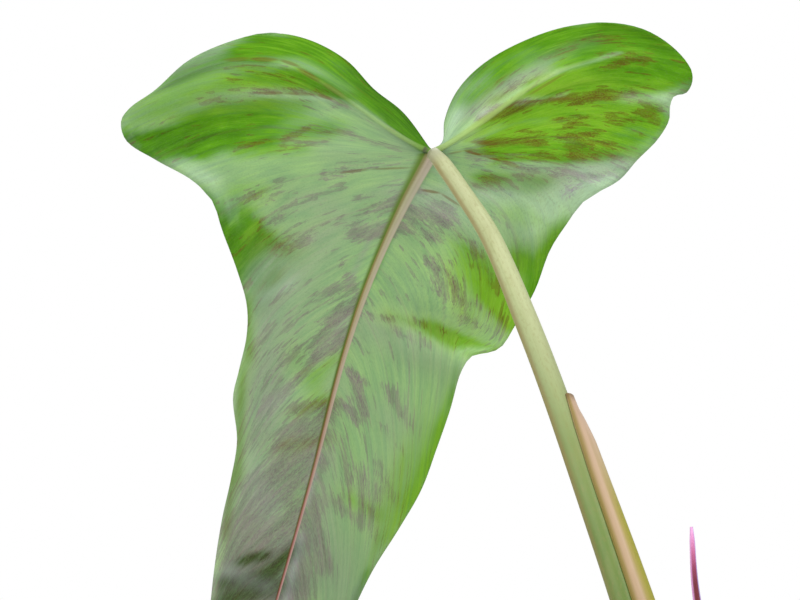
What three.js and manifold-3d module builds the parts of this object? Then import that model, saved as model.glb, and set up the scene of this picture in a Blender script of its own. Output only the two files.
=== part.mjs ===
// Young philodendron hybrid in a plain clay pot: millimetres, +Z up, origin at the centre of the pot's base
import * as THREE from 'three';
import { mergeVertices } from 'three/addons/utils/BufferGeometryUtils.js';
import Module from 'manifold-3d';

const wasm = await Module();
wasm.setup();

// Clay pot and its filling
const POT_HEIGHT = 125;
const POT_BASE_RADIUS = 46;
const POT_RIM_RADIUS = 69;
const POT_RIM_HEIGHT = 24;
const POT_RIM_STEP = 3.5;
const POT_RIM_LEAN = 2;
const POT_WALL = 5;
const POT_FLOOR = 8;
const POT_BEVEL = 1.5;
const POT_BODY_TOP = POT_HEIGHT - POT_RIM_HEIGHT;
const POT_BODY_RADIUS = POT_RIM_RADIUS - POT_RIM_STEP - POT_RIM_LEAN;
const POT_MOUTH_RADIUS = POT_RIM_RADIUS - POT_WALL;
const POT_SIDES = 60;
const SOIL_LEVEL = 111;
const SOIL_INSET = 0.4;
const SOIL_MOUND = 4;
const SOIL_MOUND_RADIUS = 22.4;
const SOIL_HOLLOWS = 0.8;
const SOIL_SIDES = 40;
const SOIL_RINGS = 7;

// Bark chips: how many, how near to the stem and the pot, their least and greatest sizes, and how they lie
const CHIP_COUNT = 56;
const CHIP_MARGIN = 7;
const CHIP_SIZES = [[4, 9], [3, 6], [2.4, 4]];
const CHIP_TILT = 0.5;
const CHIP_LIFT = 0.5;

// Stem
const STEM_FOOT = 92;
const STEM_TOP = 148;
const STEM_RADIUS = 9;
const STEM_TAPER = 0.8;
const STEM_PATH = [[0.4, 0.3, STEM_FOOT], [-0.5, 0.4, 120], [0, 0, STEM_TOP]];
const SCAR_SPACING = 9;
const SCAR_START = 3;
const SCAR_RISE = 0.7;
const SCAR_HALF_WIDTH = 1.6;

// Aerial roots: their course as distance from the stem's axis and height
const ROOT_RADIUS = 1.5;
const ROOT_TIP_RADIUS = 1.2;
const ROOT_PATH = [[6, 127], [12, 127], [17, 121], [19, 112], [20, 103]];
const AERIAL_ROOTS = [{ name: 'back', heading: 62 }, { name: 'left', heading: 158 }];

// Clearance between pieces that touch
const GAP = 0.3;

// Leaf blades
const BLADE_THICKNESS = 0.8;
const RIB_RISE = 1.1;
const RIB_TAPER = 0.8;
const CROWDING = 1.3;
const BOW_LEAN = 1.4;
const SWING_LENGTH = 260;
const TIP_FALL = 0.5;
const LOBE_RISE = 0.22;
const EDGE_FALL = 0.13;
const EDGE_FALL_POWER = 1.6;
const WAVE_HEIGHT = 2.4;
const WAVE_COUNT = 5;
const CALM_TIP = 0.08;
const KEEL_RISE = 2.6;
const KEEL_WIDTH = 6;
const KEEL_FULLNESS = 0.7;
const STRIP_FOLD = 5;
const OUTLINE_STEPS = 50;
const CURL_SPAN = 50;

// The large leaf hangs from here, and its outline is drawn as seen from a point in front of its plate
const LEAF_TILT = THREE.MathUtils.degToRad(8);
const LEAF_SINUS = new THREE.Vector3(-76.2, 105, 405);
const LEAF_EYE = new THREE.Vector3(-9.4, -43.7, 590);

// Outline of a blade on its plate: origin where the petiole joins, +Y towards the back lobes
const MIDRIB = [
  [0, 0], [-8.3, -15], [-18.1, -36.7], [-25.8, -59.3], [-35.1, -94.7], [-45.7, -131.9], [-59.9, -179.4],
  [-72.3, -222.1],
];
const LEFT_SIDE = {
  sign: -1,
  inner: [[0, 0], [-8.6, 11.5], [-17.1, 18.3], [-25.1, 26.8], [-36.3, 33], [-47.8, 35.1]],
  outer: [
    [-47.8, 35.1], [-58.4, 33], [-71.7, 27.1], [-81.7, 18.3], [-89.7, 12.4], [-91.7, 9.1], [-90.3, 3.5],
    [-81.4, -2.4], [-70.8, -8.3], [-64.9, -14.2], [-61.9, -23], [-57.5, -34.8], [-54.6, -45.1], [-54.6, -54],
    [-56.9, -64.3], [-58.7, -72.3], [-57.5, -85], [-59.3, -96.8], [-61.9, -108.6], [-64.6, -126.3],
    [-67.6, -158.7], [-70.2, -191.2], [-72.3, -222.1],
  ],
  ribEnd: 0.13,
  fanEnd: 0.28,
  bows: [[0, 0.19], [0.13, 0.19], [0.175, 0.15], [0.28, 0.06], [0.45, 0.08], [1, 0.1]],
};
const RIGHT_SIDE = {
  sign: 1,
  inner: [[0, 0], [3.2, 2.9], [3.8, 9.4], [7.7, 18.3], [16.8, 27.1], [36, 36], [51, 38.1]],
  outer: [
    [51, 38.1], [62.8, 36], [72, 30.1], [76.4, 24.2], [76.7, 20.6], [74.9, 17.4], [71.4, 16.5], [70.2, 13.6],
    [69.9, 9.4], [66.4, 3.5], [60.5, -2.4], [55.2, -8.3], [45.1, -14.2], [39.5, -21.5], [34.8, -28.9],
    [30.4, -40.7], [24.8, -50.7], [20.1, -57.8], [16.2, -59.3], [11.8, -60.2], [8.8, -64.3], [5.3, -76.1],
    [1.2, -87.9], [-3.2, -99.7], [-10, -111.5], [-17.4, -123.3], [-25.7, -140.1], [-40.1, -167.6],
    [-56.6, -194.7], [-72.3, -222.1],
  ],
  ribEnd: 0.093,
  fanEnd: 0.24,
  bows: [[0, 0.148], [0.093, 0.148], [0.15, 0.11], [0.24, 0.05], [0.45, 0.08], [1, 0.1]],
};

// Troughs and folds on the plate, each from one point to another: [x, y, x, y, half width, height]
const FOLDS = [
  [-84, 4, -46, 11, 6, -3.6],
  [-86, 14, -62, 21, 5, 1.4],
  [-62, -22, -53, -40, 7, -3],
  [-60, -56, -59, -72, 6, 1.6],
  [33, -29, 18, -50, 8, -3],
  [-3, -49, 16, -57, 4.5, -3],
  [-6, -58, 9, -64, 4, 1.6],
  [7, -72, -8, -106, 5, -2],
  [26, -7, 52, -14, 5, 2],
  [62, 17, 72, 19, 6, 1.6],
  [24, 8, 58, 6, 8, -2],
];

// Petiole, sheath and new leaf of the large leaf, from foot to tip
const PETIOLE_PATH = [
  [-3.2, 1.2, 143], [-7.5, 4.6, 175], [-18.2, 15.6, 230], [-30.1, 27.3, 275], [-37.2, 35.9, 300],
  [-44.6, 49.4, 326.6], [-50.6, 61.7, 346.7], [-60.2, 80.9, 375.4], [-67.4, 91, 389.7],
  [-73.3, 98.8, 400.2], [-75.9, 102.3, 404],
];
const PETIOLE_RADII = [
  [0, 5], [0.2, 4.2], [0.45, 3.5], [0.75, 3.3], [0.87, 2.9], [0.94, 2.6], [0.98, 2.5], [1, 2],
];
const SHEATH_TOP = 325.8;
const SHEATH_EDGE = 0.7;
const SHEATH_FULLNESS = 0.8;
const SHEATH_STEPS = 8;
// The sheath's half angle round the petiole and its bulge, each by the depth below its top
const SHEATH_HALF_ANGLES = [[0, 0.95], [8, 1.18], [20, 1.28], [60, 1.25], [200, 1.25]];
const SHEATH_BULGES = [
  [0, 0.3], [3.5, 0.45], [6.5, 1.05], [12, 1.7], [22, 1.95], [52, 2.8], [130, 3.6], [200, 3],
];
const NEW_LEAF_PATH = [
  [3.2, -6.4, 144], [2.6, -6.2, 170], [-6.5, 0.5, 228], [-15.1, 7.1, 275.2], [-16, 7.7, 292.5],
];
const NEW_LEAF_RADII = [[0, 3], [0.35, 2.9], [0.65, 1.95], [0.88, 1], [0.98, 0.65], [1, 0.35]];

// Older leaves: where they grow and hang, and their blades' width, length and curl beside the large one
const OLDER_LEAVES = [
  {
    name: 'right', heading: -11, from: 128, reach: 88, height: 262, tilt: 16, spin: -16, mirror: true,
    shape: { width: 0.77, length: 0.7, curl: 3.2 },
  },
  {
    name: 'front', heading: -149, from: 120, reach: 92, height: 232, tilt: 22, spin: 20, mirror: false,
    shape: { width: 0.57, length: 0.66, curl: -2.4 },
  },
];
// How far out an older petiole starts, how it leans out and up at first, and how it comes to its blade
const PETIOLE_START = 4;
const PETIOLE_LEAN = { out: 34, up: 44 };
const PETIOLE_ARRIVAL = { under: 34, below: 26, off: 2.6 };
const OLDER_PETIOLE_RADII = [[0, 5.2], [0.3, 4.2], [0.75, 3.4], [0.95, 2.7], [1, 1.6]];
const DRY_SHEATH_REACH = 0.32;
const DRY_SHEATH = { clearance: 0.6, flare: 1.5, halfAngle: 1.3, narrowing: 0.9, bulge: 0.3 };

// How finely the leaves and tubes are made
const LARGE_BLADE_COUNTS = { strip: 5, fan: 9, lengthwise: 26, across: 8 };
const OLDER_BLADE_COUNTS = { strip: 4, fan: 6, lengthwise: 16, across: 6 };
const PETIOLE_DETAIL = { sides: 18, steps: 32 };
const OLDER_PETIOLE_DETAIL = { sides: 12, steps: 20 };
const NEW_LEAF_DETAIL = { sides: 10, steps: 24 };
const ROOT_DETAIL = { sides: 8, steps: 14 };
const STEM_DETAIL = { sides: 16, steps: 30 };
const CUTTER_DETAIL = { sides: 20, steps: 8 };
const SHEATH_LENGTH_STEPS = 30;
const DRY_SHEATH_LENGTH_STEPS = 10;

// Colours and roughness
const LOOKS = {
  clay: { color: 0xb56a45, roughness: 0.85 },
  soil: { color: 0x3f2f24, roughness: 0.95 },
  stem: { color: 0x7d9450, roughness: 0.6 },
  petiole: { color: 0xa9b273, roughness: 0.5 },
  blade: { color: 0x6fa64f, roughness: 0.45 },
  sheath: { color: 0xa69a5c, roughness: 0.6 },
  drySheath: { color: 0x9a7a4e, roughness: 0.8 },
  newLeaf: { color: 0x8a3a4c, roughness: 0.5 },
  root: { color: 0x8b7a52, roughness: 0.8 },
};

function seededRandom(seed) {
  let state = seed;
  return () => {
    state = (state * 1664525 + 1013904223) % 4294967296;
    return state / 4294967296;
  };
}

// Straight-line interpolation in a list of [position, value] pairs
function valueAt(pairs, position) {
  for (let i = 1; i < pairs.length; i += 1) {
    const [x0, y0] = pairs[i - 1];
    const [x1, y1] = pairs[i];
    if (position <= x1) {
      return y0 + ((y1 - y0) * Math.max(position - x0, 0)) / (x1 - x0);
    }
  }
  return pairs[pairs.length - 1][1];
}

function closedGeometry(points, triangles) {
  const geometry = new THREE.BufferGeometry();
  const places = points.flatMap((p) => [p.x, p.y, p.z]);
  geometry.setAttribute('position', new THREE.Float32BufferAttribute(places, 3));
  geometry.setIndex(triangles.flat());
  geometry.computeVertexNormals();
  return geometry;
}

// Solids for cutting and joining
function toSolid(geometry) {
  const bare = geometry.clone();
  bare.deleteAttribute('normal');
  bare.deleteAttribute('uv');
  const merged = mergeVertices(bare, 1e-4);
  const vertProperties = new Float32Array(merged.attributes.position.array);
  const triVerts = new Uint32Array(merged.index.array);
  return new wasm.Manifold(new wasm.Mesh({ numProp: 3, vertProperties, triVerts }));
}

function toGeometry(solid) {
  const mesh = solid.getMesh();
  const geometry = new THREE.BufferGeometry();
  geometry.setAttribute('position', new THREE.BufferAttribute(mesh.vertProperties, 3));
  geometry.setIndex(new THREE.BufferAttribute(mesh.triVerts, 1));
  geometry.computeVertexNormals();
  return geometry;
}

function cut(geometry, ...tools) {
  let solid = toSolid(geometry);
  tools.forEach((tool) => {
    solid = solid.subtract(toSolid(tool));
  });
  return toGeometry(solid);
}

function splineThrough(points) {
  const places = points.map(([x, y, z = 0]) => new THREE.Vector3(x, y, z));
  return new THREE.CatmullRomCurve3(places, false, 'centripetal');
}

// A closed section, given at each step, swept along a curve: its first axis stays nearest to the side
function sweep(curve, steps, sectionAt, { side = new THREE.Vector3(1, 0, 0), to = 1 } = {}) {
  const points = [];
  const triangles = [];
  let count = 0;
  for (let k = 0; k <= steps; k += 1) {
    const u = (to * k) / steps;
    const centre = curve.getPointAt(u);
    const tangent = curve.getTangentAt(u);
    const across = side.clone().addScaledVector(tangent, -side.dot(tangent)).normalize();
    const over = tangent.clone().cross(across);
    const section = sectionAt(u);
    count = section.length;
    section.forEach(([a, b]) => {
      points.push(centre.clone().addScaledVector(across, a).addScaledVector(over, b));
    });
  }
  for (let k = 0; k < steps; k += 1) {
    for (let i = 0; i < count; i += 1) {
      const next = (i + 1) % count;
      const low = k * count;
      const high = low + count;
      triangles.push([low + i, low + next, high + next], [low + i, high + next, high + i]);
    }
  }
  [[0, 0, true], [to, steps * count, false]].forEach(([u, first, atFoot]) => {
    const contour = sectionAt(u).map(([a, b]) => new THREE.Vector2(a, b));
    THREE.ShapeUtils.triangulateShape(contour, []).forEach(([a, b, c]) => {
      triangles.push(atFoot ? [first + a, first + c, first + b] : [first + a, first + b, first + c]);
    });
  });
  return closedGeometry(points, triangles);
}

function roundSection(radius, sides) {
  return Array.from({ length: sides }, (_, i) => {
    const angle = (2 * Math.PI * i) / sides;
    return [radius * Math.cos(angle), radius * Math.sin(angle)];
  });
}

function taperedTube(curve, radii, { sides, steps }, grow = 0) {
  return sweep(curve, steps, (u) => roundSection(valueAt(radii, u) + grow, sides));
}

function distanceToLine(x, y, x0, y0, x1, y1) {
  const dx = x1 - x0;
  const dy = y1 - y0;
  const share = THREE.MathUtils.clamp(((x - x0) * dx + (y - y0) * dy) / (dx * dx + dy * dy), 0, 1);
  return Math.hypot(x - x0 - share * dx, y - y0 - share * dy);
}

function foldHeight(x, y) {
  return FOLDS.reduce((sum, [x0, y0, x1, y1, width, height]) => (
    sum + height * Math.exp(-((distanceToLine(x, y, x0, y0, x1, y1) / width) ** 2))
  ), 0);
}

// Height of a blade over its plate: the tip swings back, the edges fall away and wave
function bladeRelief(x, y, along, out, reach, sign) {
  const down = Math.min(y, 0);
  const up = Math.max(y, 0);
  const swing = TIP_FALL * down * (1 + down / (2 * SWING_LENGTH)) + LOBE_RISE * up;
  const fall = EDGE_FALL * reach * out ** EDGE_FALL_POWER;
  const waveHeight = WAVE_HEIGHT * out ** 2 * Math.min((1 - along) / CALM_TIP, 1);
  const wave = waveHeight * Math.sin(2 * Math.PI * WAVE_COUNT * along + sign);
  return swing - fall + wave + foldHeight(x, y) * Math.min(out * 4, 1);
}

// The lobe's rib stands up as a keel, which dies out towards the midrib, and the strip between it
// and the inner margin folds back
function keelHeight(along, out, { ribEnd, fanEnd }, outerLength) {
  const offRib = (along - ribEnd) * outerLength * out;
  const fade = THREE.MathUtils.clamp((fanEnd - along) / (fanEnd - ribEnd), 0, 1);
  const keel = KEEL_RISE * fade * Math.exp(-((offRib / KEEL_WIDTH) ** 2));
  const strip = STRIP_FOLD * Math.max(1 - along / ribEnd, 0);
  return (keel - strip) * Math.sin(Math.PI * out) ** KEEL_FULLNESS;
}

// A side's outline is one curve, its inner part up to the lobe's top and its outer part on to the tip
function outlineOf({ inner, outer }) {
  const curve = splineThrough([...inner, ...outer.slice(1)]);
  curve.arcLengthDivisions = OUTLINE_STEPS * (inner.length + outer.length - 2);
  const lengths = curve.getLengths();
  const top = lengths[OUTLINE_STEPS * (inner.length - 1)];
  const whole = curve.getLength();
  return {
    innerAt: (share) => curve.getPointAt((share * top) / whole),
    outerAt: (share) => curve.getPointAt(Math.min((top + share * (whole - top)) / whole, 1)),
    outerLength: whole - top,
  };
}

// Rows of points from the rib to the edge, as the veins run, for one side of a blade
function veinRows(sideShape, midrib, counts) {
  const { innerAt, outerAt, outerLength } = outlineOf(sideShape);
  const { strip, fan, lengthwise, across } = counts;
  const starts = [];
  for (let i = 0; i < strip; i += 1) {
    starts.push([(sideShape.ribEnd * i) / strip, 0]);
  }
  for (let i = 0; i <= fan; i += 1) {
    starts.push([sideShape.ribEnd + ((sideShape.fanEnd - sideShape.ribEnd) * i) / fan, 0]);
  }
  for (let i = 1; i < lengthwise; i += 1) {
    starts.push([sideShape.fanEnd + (1 - sideShape.fanEnd) * (i / lengthwise) ** (1 / CROWDING), i]);
  }
  return starts.map(([along, rib]) => {
    const start = midrib.getPointAt(rib / lengthwise);
    const end = outerAt(along);
    const chord = end.clone().sub(start);
    const reach = chord.length();
    const upward = new THREE.Vector3(-chord.y, chord.x, 0).normalize().multiplyScalar(sideShape.sign);
    const innerShare = Math.max(1 - along / sideShape.ribEnd, 0);
    const innerChord = innerAt(1);
    const cells = [];
    for (let j = 1; j <= across; j += 1) {
      const out = (j / across) ** CROWDING;
      const bow = valueAt(sideShape.bows, along) * reach * Math.sin(Math.PI * out ** BOW_LEAN);
      const strayed = innerAt(out).addScaledVector(innerChord, -out);
      const point = start.clone().addScaledVector(chord, out);
      point.addScaledVector(upward, bow * (1 - innerShare)).addScaledVector(strayed, innerShare);
      point.z = bladeRelief(point.x, point.y, along, out, reach, sideShape.sign);
      point.z += keelHeight(along, out, sideShape, outerLength);
      const rise = along === sideShape.ribEnd ? 1 - out : 0;
      cells.push({ point, rise });
    }
    return { rib, cells };
  });
}

// A closed blade, its two faces split into triangles alike
function bladeGeometry(counts, place, mirror = false) {
  const midrib = splineThrough(MIDRIB);
  const sheet = [];
  const rises = [];
  for (let i = 0; i <= counts.lengthwise; i += 1) {
    const point = midrib.getPointAt(i / counts.lengthwise);
    point.z = bladeRelief(point.x, point.y, 0, 0, 0, 1);
    sheet.push(point);
    rises.push(1 - RIB_TAPER * (i / counts.lengthwise));
  }
  const tip = counts.lengthwise;
  const faces = [];
  const edges = [LEFT_SIDE, RIGHT_SIDE].map((sideShape) => {
    const rows = veinRows(sideShape, midrib, counts).map(({ rib, cells }) => {
      const first = sheet.length;
      cells.forEach(({ point, rise }) => {
        sheet.push(point);
        rises.push(rise);
      });
      return [rib, ...cells.map((_, j) => first + j)];
    });
    rows.push(Array(counts.across + 1).fill(tip));
    for (let r = 0; r + 1 < rows.length; r += 1) {
      for (let j = 0; j < counts.across; j += 1) {
        const [a, b, c, d] = [rows[r][j], rows[r][j + 1], rows[r + 1][j + 1], rows[r + 1][j]];
        const whole = [[a, b, c], [a, c, d]].filter(([p, q, s]) => p !== q && q !== s && s !== p);
        whole.forEach(([p, q, s]) => {
          faces.push((sideShape.sign < 0) === mirror ? [p, s, q] : [p, q, s]);
        });
      }
    }
    return [...rows[0], ...rows.slice(1, -1).map((row) => row[counts.across])];
  });
  const loop = [...edges[0], tip, ...edges[1].reverse().slice(0, -1)];
  if (mirror) {
    loop.reverse();
  }
  return thickened(sheet.map(place), rises, faces, loop);
}

function thickened(sheet, rises, faces, loop) {
  const normals = sheet.map(() => new THREE.Vector3());
  faces.forEach(([a, b, c]) => {
    const edge = sheet[b].clone().sub(sheet[a]);
    const normal = edge.cross(sheet[c].clone().sub(sheet[a]));
    [a, b, c].forEach((i) => normals[i].add(normal));
  });
  normals.forEach((normal) => normal.normalize());
  const half = BLADE_THICKNESS / 2;
  const under = sheet.map((p, i) => p.clone().addScaledVector(normals[i], half + RIB_RISE * rises[i]));
  const over = sheet.map((p, i) => p.clone().addScaledVector(normals[i], -half));
  const n = sheet.length;
  const triangles = faces.flatMap(([a, b, c]) => [[a, b, c], [n + a, n + c, n + b]]);
  loop.forEach((p, i) => {
    const q = loop[(i + 1) % loop.length];
    triangles.push([n + p, n + q, q], [n + p, q, p]);
  });
  return closedGeometry([...under, ...over], triangles);
}

// Crescent that clasps a petiole, thin at its two edges and thick between them
function sheathSection(petioleRadius, halfAngle, bulge) {
  const inner = petioleRadius + GAP;
  const innerCorner = inner / Math.cos(halfAngle / SHEATH_STEPS);
  const outside = [];
  const inside = [];
  for (let i = 0; i <= SHEATH_STEPS; i += 1) {
    const share = i / SHEATH_STEPS;
    const angle = halfAngle * (2 * share - 1);
    const radius = inner + SHEATH_EDGE + bulge * Math.sin(Math.PI * share) ** SHEATH_FULLNESS;
    outside.push([radius * Math.cos(angle), radius * Math.sin(angle)]);
    inside.push([innerCorner * Math.cos(angle), innerCorner * Math.sin(angle)]);
  }
  return [...outside, ...inside.reverse()];
}

// Clay pot
function potGeometry() {
  const profile = [
    [0, 0], [POT_BASE_RADIUS - POT_BEVEL, 0], [POT_BASE_RADIUS, POT_BEVEL],
    [POT_BODY_RADIUS, POT_BODY_TOP], [POT_BODY_RADIUS + POT_RIM_STEP, POT_BODY_TOP + POT_BEVEL],
    [POT_RIM_RADIUS, POT_HEIGHT - POT_BEVEL], [POT_RIM_RADIUS - POT_BEVEL, POT_HEIGHT],
    [POT_MOUTH_RADIUS + POT_BEVEL, POT_HEIGHT], [POT_MOUTH_RADIUS, POT_HEIGHT - POT_BEVEL],
    [POT_BODY_RADIUS - POT_WALL, POT_BODY_TOP], [POT_BASE_RADIUS - POT_WALL, POT_FLOOR], [0, POT_FLOOR],
  ];
  const geometry = new THREE.LatheGeometry(profile.map(([x, y]) => new THREE.Vector2(x, y)), POT_SIDES);
  geometry.rotateX(Math.PI / 2);
  return geometry;
}

function potInnerRadius(z) {
  return valueAt([
    [POT_FLOOR, POT_BASE_RADIUS - POT_WALL], [POT_BODY_TOP, POT_BODY_RADIUS - POT_WALL],
    [POT_HEIGHT - POT_BEVEL, POT_MOUTH_RADIUS],
  ], z);
}

function soilHeight(x, y) {
  const mound = SOIL_MOUND * Math.exp(-(x * x + y * y) / SOIL_MOUND_RADIUS ** 2);
  const hollows = Math.sin(0.31 * x + 1) * Math.cos(0.27 * y) + 0.6 * Math.sin(0.19 * x - 0.43 * y);
  return SOIL_LEVEL + mound + SOIL_HOLLOWS * hollows;
}

// Soil: a plug that follows the pot's wall, with an uneven top
function soilBody() {
  const points = [new THREE.Vector3(0, 0, POT_FLOOR + GAP)];
  const wallFlats = POT_RIM_RADIUS * (1 - Math.cos(Math.PI / POT_SIDES));
  const clear = GAP + wallFlats;
  const topRadius = potInnerRadius(SOIL_LEVEL) - clear - SOIL_INSET;
  const rings = [
    [potInnerRadius(POT_FLOOR) - clear, () => POT_FLOOR + GAP],
    [potInnerRadius(POT_BODY_TOP) - clear, () => POT_BODY_TOP],
  ];
  for (let k = SOIL_RINGS; k >= 1; k -= 1) {
    rings.push([(topRadius * k) / SOIL_RINGS, soilHeight]);
  }
  rings.forEach(([radius, heightAt]) => {
    for (let i = 0; i < SOIL_SIDES; i += 1) {
      const angle = (2 * Math.PI * i) / SOIL_SIDES;
      const x = radius * Math.cos(angle);
      const y = radius * Math.sin(angle);
      points.push(new THREE.Vector3(x, y, heightAt(x, y)));
    }
  });
  points.push(new THREE.Vector3(0, 0, soilHeight(0, 0)));
  const triangles = [];
  for (let i = 0; i < SOIL_SIDES; i += 1) {
    const next = (i + 1) % SOIL_SIDES;
    triangles.push([0, 1 + next, 1 + i]);
    for (let k = 0; k + 1 < rings.length; k += 1) {
      const low = 1 + k * SOIL_SIDES;
      const high = low + SOIL_SIDES;
      triangles.push([low + i, low + next, high + next], [low + i, high + next, high + i]);
    }
    const last = 1 + (rings.length - 1) * SOIL_SIDES;
    triangles.push([last + i, last + next, points.length - 1]);
  }
  return closedGeometry(points, triangles);
}

// Bark chips, each sunk in the soil for about half its height
function barkChips() {
  const random = seededRandom(7);
  const chips = [];
  const keepOff = STEM_RADIUS + CHIP_MARGIN;
  const keepIn = potInnerRadius(SOIL_LEVEL) - CHIP_MARGIN;
  for (let i = 0; i < CHIP_COUNT; i += 1) {
    const radius = Math.sqrt(keepOff ** 2 + random() * (keepIn ** 2 - keepOff ** 2));
    const angle = 2 * Math.PI * random();
    const x = radius * Math.cos(angle);
    const y = radius * Math.sin(angle);
    const size = CHIP_SIZES.map(([least, greatest]) => least + (greatest - least) * random());
    const chip = new THREE.BoxGeometry(...size);
    chip.rotateX(CHIP_TILT * (random() - 0.5));
    chip.rotateY(CHIP_TILT * (random() - 0.5));
    chip.rotateZ(2 * Math.PI * random());
    chip.translate(x, y, soilHeight(x, y) + CHIP_LIFT);
    chips.push(chip);
  }
  return chips;
}

// Stem with ring-shaped leaf scars
function stemGeometry() {
  const length = STEM_TOP - STEM_FOOT;
  const section = (u) => {
    const height = u * length;
    const offScar = Math.abs(((height + SCAR_START) % SCAR_SPACING) - SCAR_SPACING / 2);
    const scar = SCAR_RISE * Math.max(1 - offScar / SCAR_HALF_WIDTH, 0);
    return roundSection(STEM_RADIUS - STEM_TAPER * u + scar, STEM_DETAIL.sides);
  };
  return sweep(splineThrough(STEM_PATH), STEM_DETAIL.steps, section);
}

// The stem grown by the clearance, to cut its neighbours back with
function stemCutter() {
  const radii = [[0, STEM_RADIUS + SCAR_RISE], [1, STEM_RADIUS - STEM_TAPER + SCAR_RISE]];
  const [foot, middle, top] = STEM_PATH;
  const longer = [[foot[0], foot[1], foot[2] - GAP], middle, [top[0], top[1], top[2] + GAP]];
  return taperedTube(splineThrough(longer), radii, CUTTER_DETAIL, GAP);
}

function rootCurve(heading) {
  const angle = THREE.MathUtils.degToRad(heading);
  return splineThrough(ROOT_PATH.map(
    ([radius, z]) => [radius * Math.cos(angle), radius * Math.sin(angle), z],
  ));
}

function rootTube(heading, grow = 0) {
  return taperedTube(rootCurve(heading), [[0, ROOT_RADIUS], [1, ROOT_TIP_RADIUS]], ROOT_DETAIL, grow);
}

// How a blade's plate lies: out is the way that its upper face looks
function plateAxes(out, tilt, spin = 0) {
  const up = new THREE.Vector3(0, 0, 1);
  const under = out.clone().multiplyScalar(-Math.cos(tilt)).addScaledVector(up, -Math.sin(tilt));
  const lobes = up.multiplyScalar(Math.cos(tilt)).addScaledVector(out, -Math.sin(tilt));
  lobes.applyAxisAngle(under, spin);
  const across = lobes.clone().cross(under);
  return { across, lobes, under };
}

function onPlate(origin, axes, p) {
  return origin.clone()
    .addScaledVector(axes.across, p.x)
    .addScaledVector(axes.lobes, p.y)
    .addScaledVector(axes.under, p.z);
}

// Moves plate points to their place, first along their lines to the eye
function eyePlacer(origin, axes, eye) {
  return (point) => onPlate(origin, axes, point.clone().setZ(0).lerp(eye, point.z / eye.z));
}

// Moves plate points to their place, made wider or longer, with the tip curled towards the underside
function placer(origin, axes, { width, length, curl }, mirror) {
  const scale = new THREE.Vector3(mirror ? -width : width, length, (width + length) / 2);
  return (point) => {
    const p = point.clone().multiply(scale);
    p.z += curl * (Math.min(p.y, 0) / CURL_SPAN) ** 2;
    return onPlate(origin, axes, p);
  };
}

const part = new THREE.Group();

function add(name, geometry, look) {
  const mesh = new THREE.Mesh(geometry, new THREE.MeshStandardMaterial({ ...look, metalness: 0 }));
  mesh.name = name;
  part.add(mesh);
}

// Position along a curve where it reaches a height
function shareAtHeight(curve, height) {
  const steps = 500;
  let k = 0;
  while (k < steps && curve.getPointAt(k / steps).z < height) {
    k += 1;
  }
  return k / steps;
}

// The large leaf, its sheath and the new leaf beside it
function addLargeLeaf() {
  const axes = plateAxes(new THREE.Vector3(0, 1, 0), LEAF_TILT);
  const blade = bladeGeometry(LARGE_BLADE_COUNTS, eyePlacer(LEAF_SINUS, axes, LEAF_EYE));
  const petiole = splineThrough(PETIOLE_PATH);
  const sheath = sweep(petiole, SHEATH_LENGTH_STEPS, (u) => {
    const below = SHEATH_TOP - petiole.getPointAt(u).z;
    const halfAngle = valueAt(SHEATH_HALF_ANGLES, below);
    return sheathSection(valueAt(PETIOLE_RADII, u), halfAngle, valueAt(SHEATH_BULGES, below));
  }, { to: shareAtHeight(petiole, SHEATH_TOP) });
  const newLeaf = taperedTube(splineThrough(NEW_LEAF_PATH), NEW_LEAF_RADII, NEW_LEAF_DETAIL);
  add('blade_main', blade, LOOKS.blade);
  add('petiole_main', cut(taperedTube(petiole, PETIOLE_RADII, PETIOLE_DETAIL), stemCutter()), LOOKS.petiole);
  add('sheath_main', cut(sheath, stemCutter()), LOOKS.sheath);
  add('leaf_new', cut(newLeaf, stemCutter()), LOOKS.newLeaf);
}

// Petiole of an older leaf, from the stem to the top of its blade's rib
function olderPetiole(out, from, sinus, axes) {
  const foot = out.clone().multiplyScalar(PETIOLE_START).setZ(from);
  const departure = out.clone().multiplyScalar(PETIOLE_LEAN.out).setZ(from + PETIOLE_LEAN.up);
  const top = sinus.clone().addScaledVector(axes.under, PETIOLE_ARRIVAL.off);
  const arrival = top.clone()
    .addScaledVector(axes.under, PETIOLE_ARRIVAL.under)
    .addScaledVector(axes.lobes, -PETIOLE_ARRIVAL.below);
  return new THREE.CubicBezierCurve3(foot, departure, arrival, top);
}

// Dry sheath at the foot of an older petiole, opening and narrowing upwards
function drySheath(petiole, radii, side) {
  const { clearance, flare, halfAngle, narrowing, bulge } = DRY_SHEATH;
  return sweep(petiole, DRY_SHEATH_LENGTH_STEPS, (u) => {
    const share = u / DRY_SHEATH_REACH;
    const radius = valueAt(radii, u) + clearance + flare * share ** 2;
    return sheathSection(radius, halfAngle - narrowing * share, bulge);
  }, { side, to: DRY_SHEATH_REACH });
}

// An older leaf: blade, petiole and the dry sheath at its foot
function addOlderLeaf({ name, heading, from, reach, height, tilt, spin, mirror, shape }) {
  const toRad = THREE.MathUtils.degToRad;
  const out = new THREE.Vector3(Math.cos(toRad(heading)), Math.sin(toRad(heading)), 0);
  const axes = plateAxes(out, toRad(tilt), toRad(spin));
  const sinus = out.clone().multiplyScalar(reach).setZ(height);
  const petiole = olderPetiole(out, from, sinus, axes);
  const scale = (shape.width + shape.length) / 2;
  const radii = OLDER_PETIOLE_RADII.map(([u, r]) => [u, r * scale]);
  const blade = bladeGeometry(OLDER_BLADE_COUNTS, placer(sinus, axes, shape, mirror), mirror);
  const stalk = taperedTube(petiole, radii, OLDER_PETIOLE_DETAIL);
  add(`blade_${name}`, blade, LOOKS.blade);
  add(`petiole_${name}`, cut(stalk, stemCutter()), LOOKS.petiole);
  add(`sheath_${name}`, cut(drySheath(petiole, radii, out), stemCutter()), LOOKS.drySheath);
}

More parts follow.
